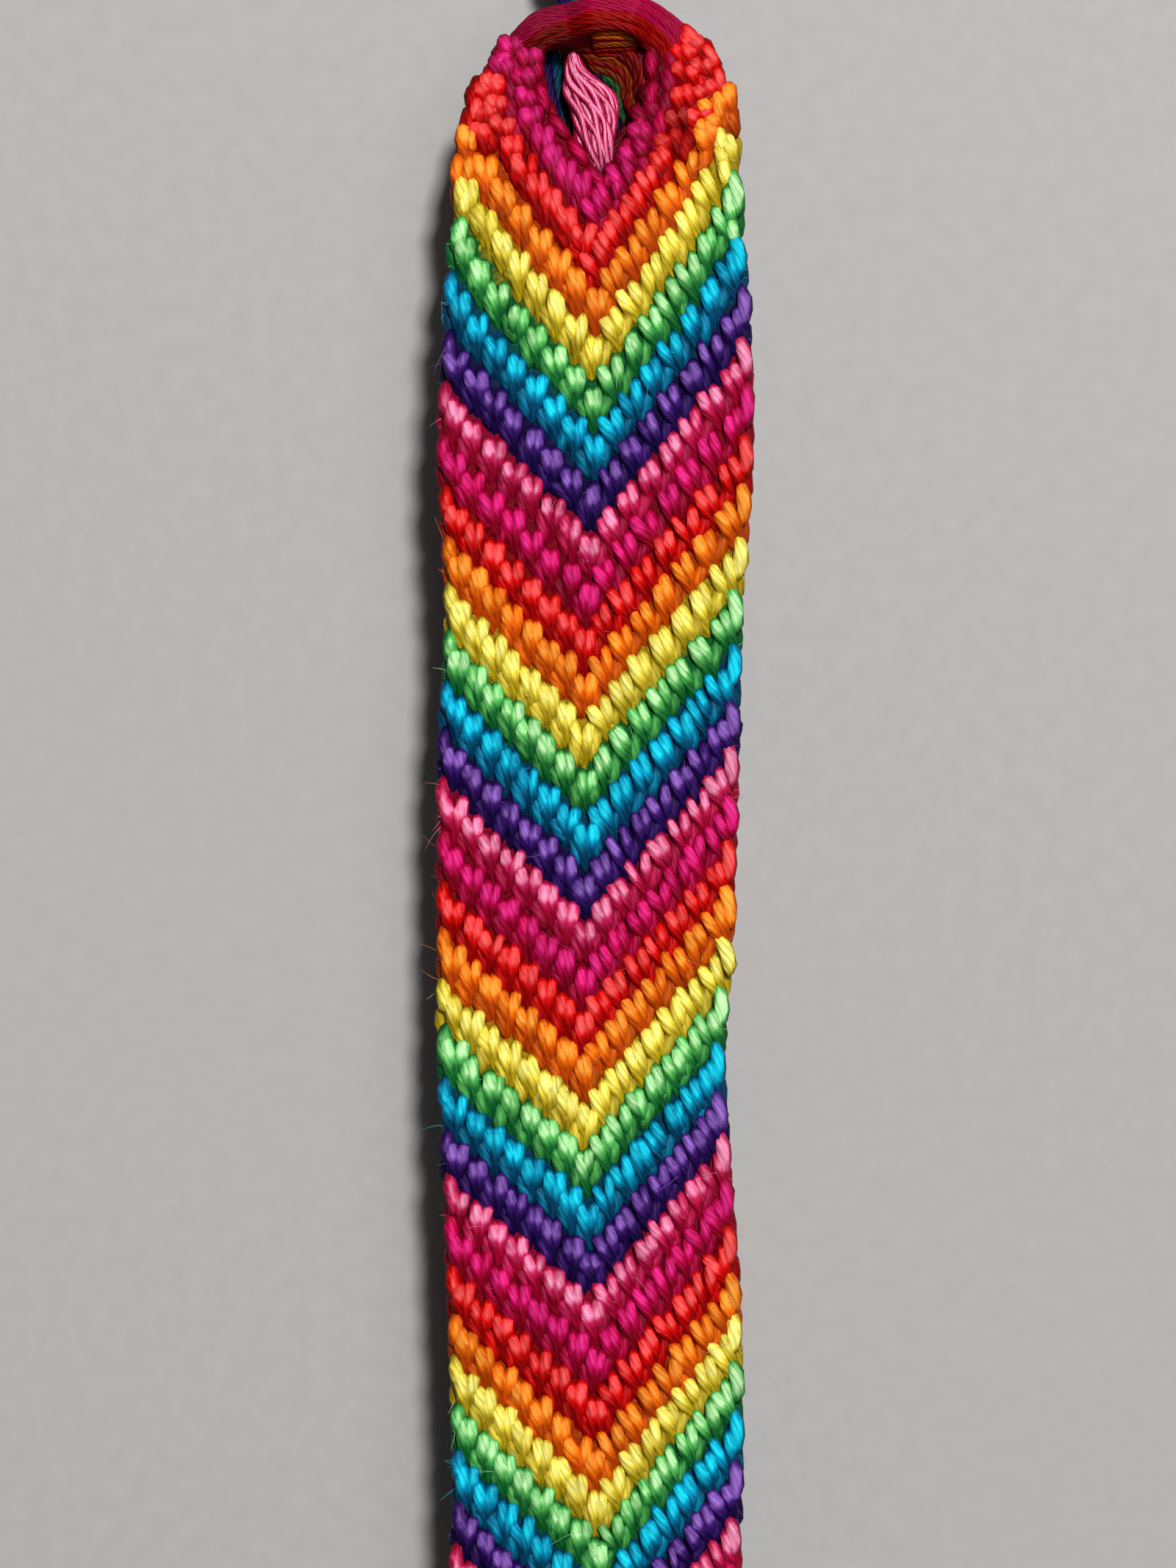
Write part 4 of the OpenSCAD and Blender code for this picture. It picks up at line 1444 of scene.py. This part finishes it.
@dataclass(frozen=True)
class StrayFibres:
    """Loose fibres of cotton that stand off the edges and the knots. A real one is about 0.015 mm thick; it
    is drawn 0.024 mm thick, so that it shows."""

    path: BandPath
    half_t: float = 0.012
    stations: int = 6
    on_edges: int = 420
    on_knots: int = 600

    def grown(self, roots: np.ndarray, lean: np.ndarray, length: np.ndarray,
              rng: np.random.Generator) -> Strands:
        """Fibres on parabolas: from the root along the lean, bent by a random push that grows with the
        square.

        Args:
            roots: where they start, in millimetres.
            lean: the directions in which they leave.
            length: their lengths.
            rng: the source of chance.

        Returns:
            The fibres.
        """
        n = len(roots)
        t = np.linspace(0, 1, self.stations)[None, :, None]
        push = rng.normal(0, 0.4, (n, 1, 3))
        path = roots[:, None] + (lean[:, None] * t + push * t * t) * length[:, None, None]
        path[..., 2] = np.maximum(path[..., 2], 0.03)
        size = np.full(path.shape[:2], self.half_t) * np.linspace(1, 0.5, self.stations)
        tilt = np.array([0.3, 0.2, 0.93])
        return toned_and_shaded(carried(path, tilt, size, size, 2, 4.0, 0.0, 3, np.zeros(n)), rng)


class Dressing:
    """Puts the parts of the bracelet together: works out the knots once, and makes the pieces."""

    def __init__(self) -> None:
        """Works out where every knot is, and builds the finishes."""
        self.path = BandPath()
        self.outline = LoopOutline()
        self.chevron = Chevron(self.path)
        self.knotting = Knotting(self.path)
        self.rng = np.random.default_rng(SEED)
        self.rows = Knots.joined([self.chevron.knots(), LoopRows().knots()])
        self.edges = self.chevron.edge_turns()
        self.floss = {dye: FLOSS[dye].material() for dye in DYES}
        self.deep = DeepFinish().material()

    def by_dye(self, name: str, slot: str, nodes: tuple[str, ...], strands: Strands, dye: np.ndarray) -> None:
        """Makes one piece of each dye from a set of strands."""
        for number in np.unique(dye.astype(int)):
            colour = DYES[number]
            Piece(f"{name}_{colour.value}", slot, nodes).spun(strands.picked(dye == number),
                                                              self.floss[colour])

    def knot_band_and_loop(self) -> None:
        """The wraps of every knot on both faces, the edges, the loop's rims, and the cores under them."""
        loop_edge = self.outline.loop_len
        beads = [self.knotting.wraps(self.rows, face, self.rng) for face in (1, -1)]
        beads.append(self.knotting.lows(self.rows, self.rng))
        beads.append(self.knotting.turns(self.edges, self.rng))
        for low, high in ((0, 125), (235, 360)):
            line = self.outline.hole(np.radians(np.linspace(low, high, 120)))
            beads.append(self.knotting.rims(line, -0.42, 1.7, 0.24, self.rows, self.rng))
        for low, high in ((45, 142), (222, 315)):
            line = self.outline.outside(np.radians(np.linspace(low, high, 120)))
            beads.append(self.knotting.rims(line, 0.6, 1.6, 0.38, self.rows, self.rng))
        every = Beads.joined(beads)
        loop = every.picked(every.s < loop_edge)
        band = every.picked(every.s >= loop_edge)
        self.by_dye("band_knots", "knotted_floss", ("knotted_band",), band.strands(self.path), band.dye)
        self.by_dye("loop_knots", "loop_floss", ("end_loop",), loop.strands(self.path), loop.dye)
        rim = BareRim(self.path, self.outline)
        strands, dye = rim.rim(self.rng)
        self.by_dye("loop_rim", "loop_floss", ("end_loop",), strands, dye)
        strands, dye = rim.over_tie(self.rng)
        self.by_dye("loop_rim_top", "loop_floss", ("end_loop",), strands, dye)
        strands, dye = rim.low(self.rng)
        self.by_dye("loop_wall", "loop_floss", ("end_loop",), strands, dye)
        core = Core(self.path, self.outline)
        core.band(Piece("band_core", "knotted_floss", ("knotted_band",)), self.rows, self.deep)
        core.loop(Piece("loop_core", "loop_floss", ("end_loop",)), self.rows, self.deep)

    def string_ties(self) -> None:
        """The bare strings of both bundles."""
        ties = TieStrings(self.path)
        strands, dye = ties.bundle(ties.under, ties.under_strings, (0.34, 0.36), (0.03, 0.42), 4.3, 1.0,
                                   self.rng)
        self.by_dye("tie_under_strings", "tie_floss", ("tie_under",), strands, dye)
        Piece("tie_under_strings_pink", "tie_floss", ("tie_under",)).spun(ties.pinks(self.rng),
                                                                          self.floss[Dye.PINK])
        strands, dye = ties.bundle(ties.over_rim, ties.over_strings, (0.33, 0.24), (0.15, 0.45), 2.4, 0.0,
                                   self.rng)
        self.by_dye("tie_over_strings", "tie_floss", ("tie_over",), strands, dye)
        strands, dye = ties.whipping(self.rng)
        self.by_dye("tie_whipping", "tie_floss", ("tie_over",), strands, dye)

    def tie_knot(self) -> None:
        """The closing knot."""
        knot = ClosingKnot()
        strands, dye = knot.wraps(self.rng)
        self.by_dye("closing_knot_wraps", "tie_floss", ("tie_knot",), strands, dye)
        strands, dye = knot.through(self.rng)
        self.by_dye("closing_knot_middle", "tie_floss", ("tie_knot",), strands, dye)

    def trim_ends(self) -> None:
        """The two tails."""
        ends = TrimmedEnds(self.path)
        for side, name in ((-1, "left"), (1, "right")):
            strands, dye, last = ends.strings(side, self.rng)
            self.by_dye(f"tail_{name}", "tie_floss", (f"tie_tail_{name}",), strands, dye)
            strands, dye = ends.brushes(last, dye, self.rng)
            self.by_dye(f"tail_{name}_fray", "tie_floss", (f"tie_tail_{name}",), strands, dye)

    def stray_fibres(self) -> None:
        """Loose fibres along the edges and over the knots, in the painted highlight colour of the nearest
        row.
        """
        fibres, rng = StrayFibres(self.path), self.rng
        n, m = fibres.on_edges, fibres.on_knots
        side = np.where(rng.uniform(0, 1, n) < 0.5, -1.0, 1.0)
        s = rng.uniform(12.5, self.path.tail_d - 2, n)
        x = side * (self.path.half_width(s, side) - 0.25)
        roots = self.path.place(x, s, rng.uniform(-0.4, 0.7, n))
        lean = np.stack([side * rng.uniform(0.3, 1.0, n), rng.normal(0, 0.6, n), rng.normal(0.05, 0.25, n)],
                        axis=1)
        pick = rng.integers(0, len(self.rows.x), m)
        face = np.where(rng.uniform(0, 1, m) < 0.75, 1.0, -1.0)
        at_x, at_s = self.rows.x[pick] + rng.normal(0, 0.3, m), self.rows.s[pick] + rng.uniform(-0.6, 0.9, m)
        over = self.path.place(at_x, at_s, 0.82 * face)
        out = self.path.place(at_x, at_s, 1.82 * face) - over
        flat = np.stack([rng.normal(0, 0.6, m), rng.normal(0, 0.6, m), np.zeros(m)], axis=1)
        flat = flat + out * rng.uniform(0.05, 0.4, (m, 1))
        roots, lean = np.concatenate([roots, over]), np.concatenate([lean, flat])
        flat_at = np.concatenate([np.stack([x, s], axis=1),
                                  np.stack([self.rows.x[pick], self.rows.s[pick]], axis=1)])
        strands = fibres.grown(roots, lean, 0.18 + 0.9 * rng.uniform(0, 1, n + m) ** 3, rng)
        # Painted highlight: each fibre takes the pale crown colour of the nearest row
        light = np.array([linear(FLOSS[dye].light) for dye in DYES])
        closest = np.argmin((self.rows.x - flat_at[:, :1]) ** 2 + (self.rows.s - flat_at[:, 1:]) ** 2, axis=1)
        painted_highlight_tint = light[self.rows.dye[closest]]
        shape = strands.rings.shape
        strands.marks["dye"] = np.broadcast_to(painted_highlight_tint[:, None, None], shape)
        strands.pole_marks["dye"] = np.broadcast_to(painted_highlight_tint[:, None], (shape[0], 2, 3))
        finish = DeepFinish("cotton_fibre", 0.6, 0.3).material()
        Piece("stray_fibres", "knotted_floss", ("knotted_band",)).spun(strands, finish)


@dataclass(frozen=True)
class Studio:
    """A plain pale floor, soft light and a camera that looks straight down, as the photograph does."""

    camera_x: float = -0.39
    camera_y: float = -5.48
    plane_z: float = 8.7
    distance: float = 300.0
    frame_height: float = 83.4
    sensor: float = 36.0
    half_floor: float = 1.5  # In metres
    card: tuple[str, str] = ("#98979A", "#A3A2A0")
    sky: str = "#EDEFF2"
    sky_strength: float = 0.1

    def floor(self) -> None:
        """A flat sheet of pale, fine matt card."""
        half = self.half_floor
        mesh = bpy.data.meshes.new("floor")
        mesh.from_pydata([(-half, -half, 0), (half, -half, 0), (half, half, 0), (-half, half, 0)], [],
                         [(0, 1, 2, 3)])
        nodes = Nodes("matt_card")
        grain = nodes.noise(nodes.put("TexCoord").outputs["Object"], 900.0, 3.0)
        darker, paler = ((*linear(colour), 1) for colour in self.card)
        mesh.materials.append(nodes.shaded({"Base Color": nodes.mixed(grain, darker, paler),
                                            "Roughness": 0.9}))
        floor = bpy.data.objects.new("floor", mesh)
        bpy.context.scene.collection.objects.link(floor)

    def camera(self) -> None:
        """Straight above the middle of what the photograph shows, with a long lens."""
        data = bpy.data.cameras.new("camera")
        data.sensor_width = self.sensor
        data.lens = self.sensor * self.distance / self.frame_height
        data.clip_start, data.clip_end = 0.01, 5.0
        obj = bpy.data.objects.new("camera", data)
        obj.location = (self.camera_x * MM, self.camera_y * MM, (self.plane_z + self.distance) * MM)
        bpy.context.scene.collection.objects.link(obj)
        bpy.context.scene.camera = obj

    def light(self, name: str, place: tuple[float, float, float], size: float, power: float,
              colour: str) -> None:
        """A square soft light that faces the bracelet.

        Args:
            name: its name.
            place: where it is, in metres.
            size: the square's side, in metres.
            power: in watts.
            colour: of the light, sRGB hex.
        """
        data = bpy.data.lights.new(name, "AREA")
        data.size, data.energy, data.color = size, power, linear(colour)
        obj = bpy.data.objects.new(name, data)
        obj.location = place
        away = np.array(place) / np.linalg.norm(place)
        obj.rotation_euler = (math.acos(away[2]), 0, math.atan2(away[1], away[0]) + math.pi / 2)
        bpy.context.scene.collection.objects.link(obj)

    def set_up(self) -> None:
        """Floor, camera, lights and the sky's own soft light."""
        self.floor()
        self.camera()
        self.light("window", (0.115, 0.28, 0.62), 0.085, 5.95, "#FFFDF9")
        self.light("room", (0.26, 0.08, 0.75), 0.4, 1.4, "#F8F9FF")
        world = bpy.data.worlds.new("room_light")
        world.use_nodes = True
        sky = world.node_tree.nodes["Background"].inputs
        sky[0].default_value, sky[1].default_value = (*linear(self.sky), 1), self.sky_strength
        bpy.context.scene.world = world
        bpy.context.scene.view_settings.view_transform = "Standard"


def main() -> None:
    """Builds the bracelet and its studio in order."""
    logging.basicConfig(level=logging.INFO, format="%(message)s")
    Studio().set_up()
    dressing = Dressing()
    dressing.knot_band_and_loop()
    dressing.string_ties()
    dressing.tie_knot()
    dressing.trim_ends()
    dressing.stray_fibres()


if __name__ == "__main__":
    main()
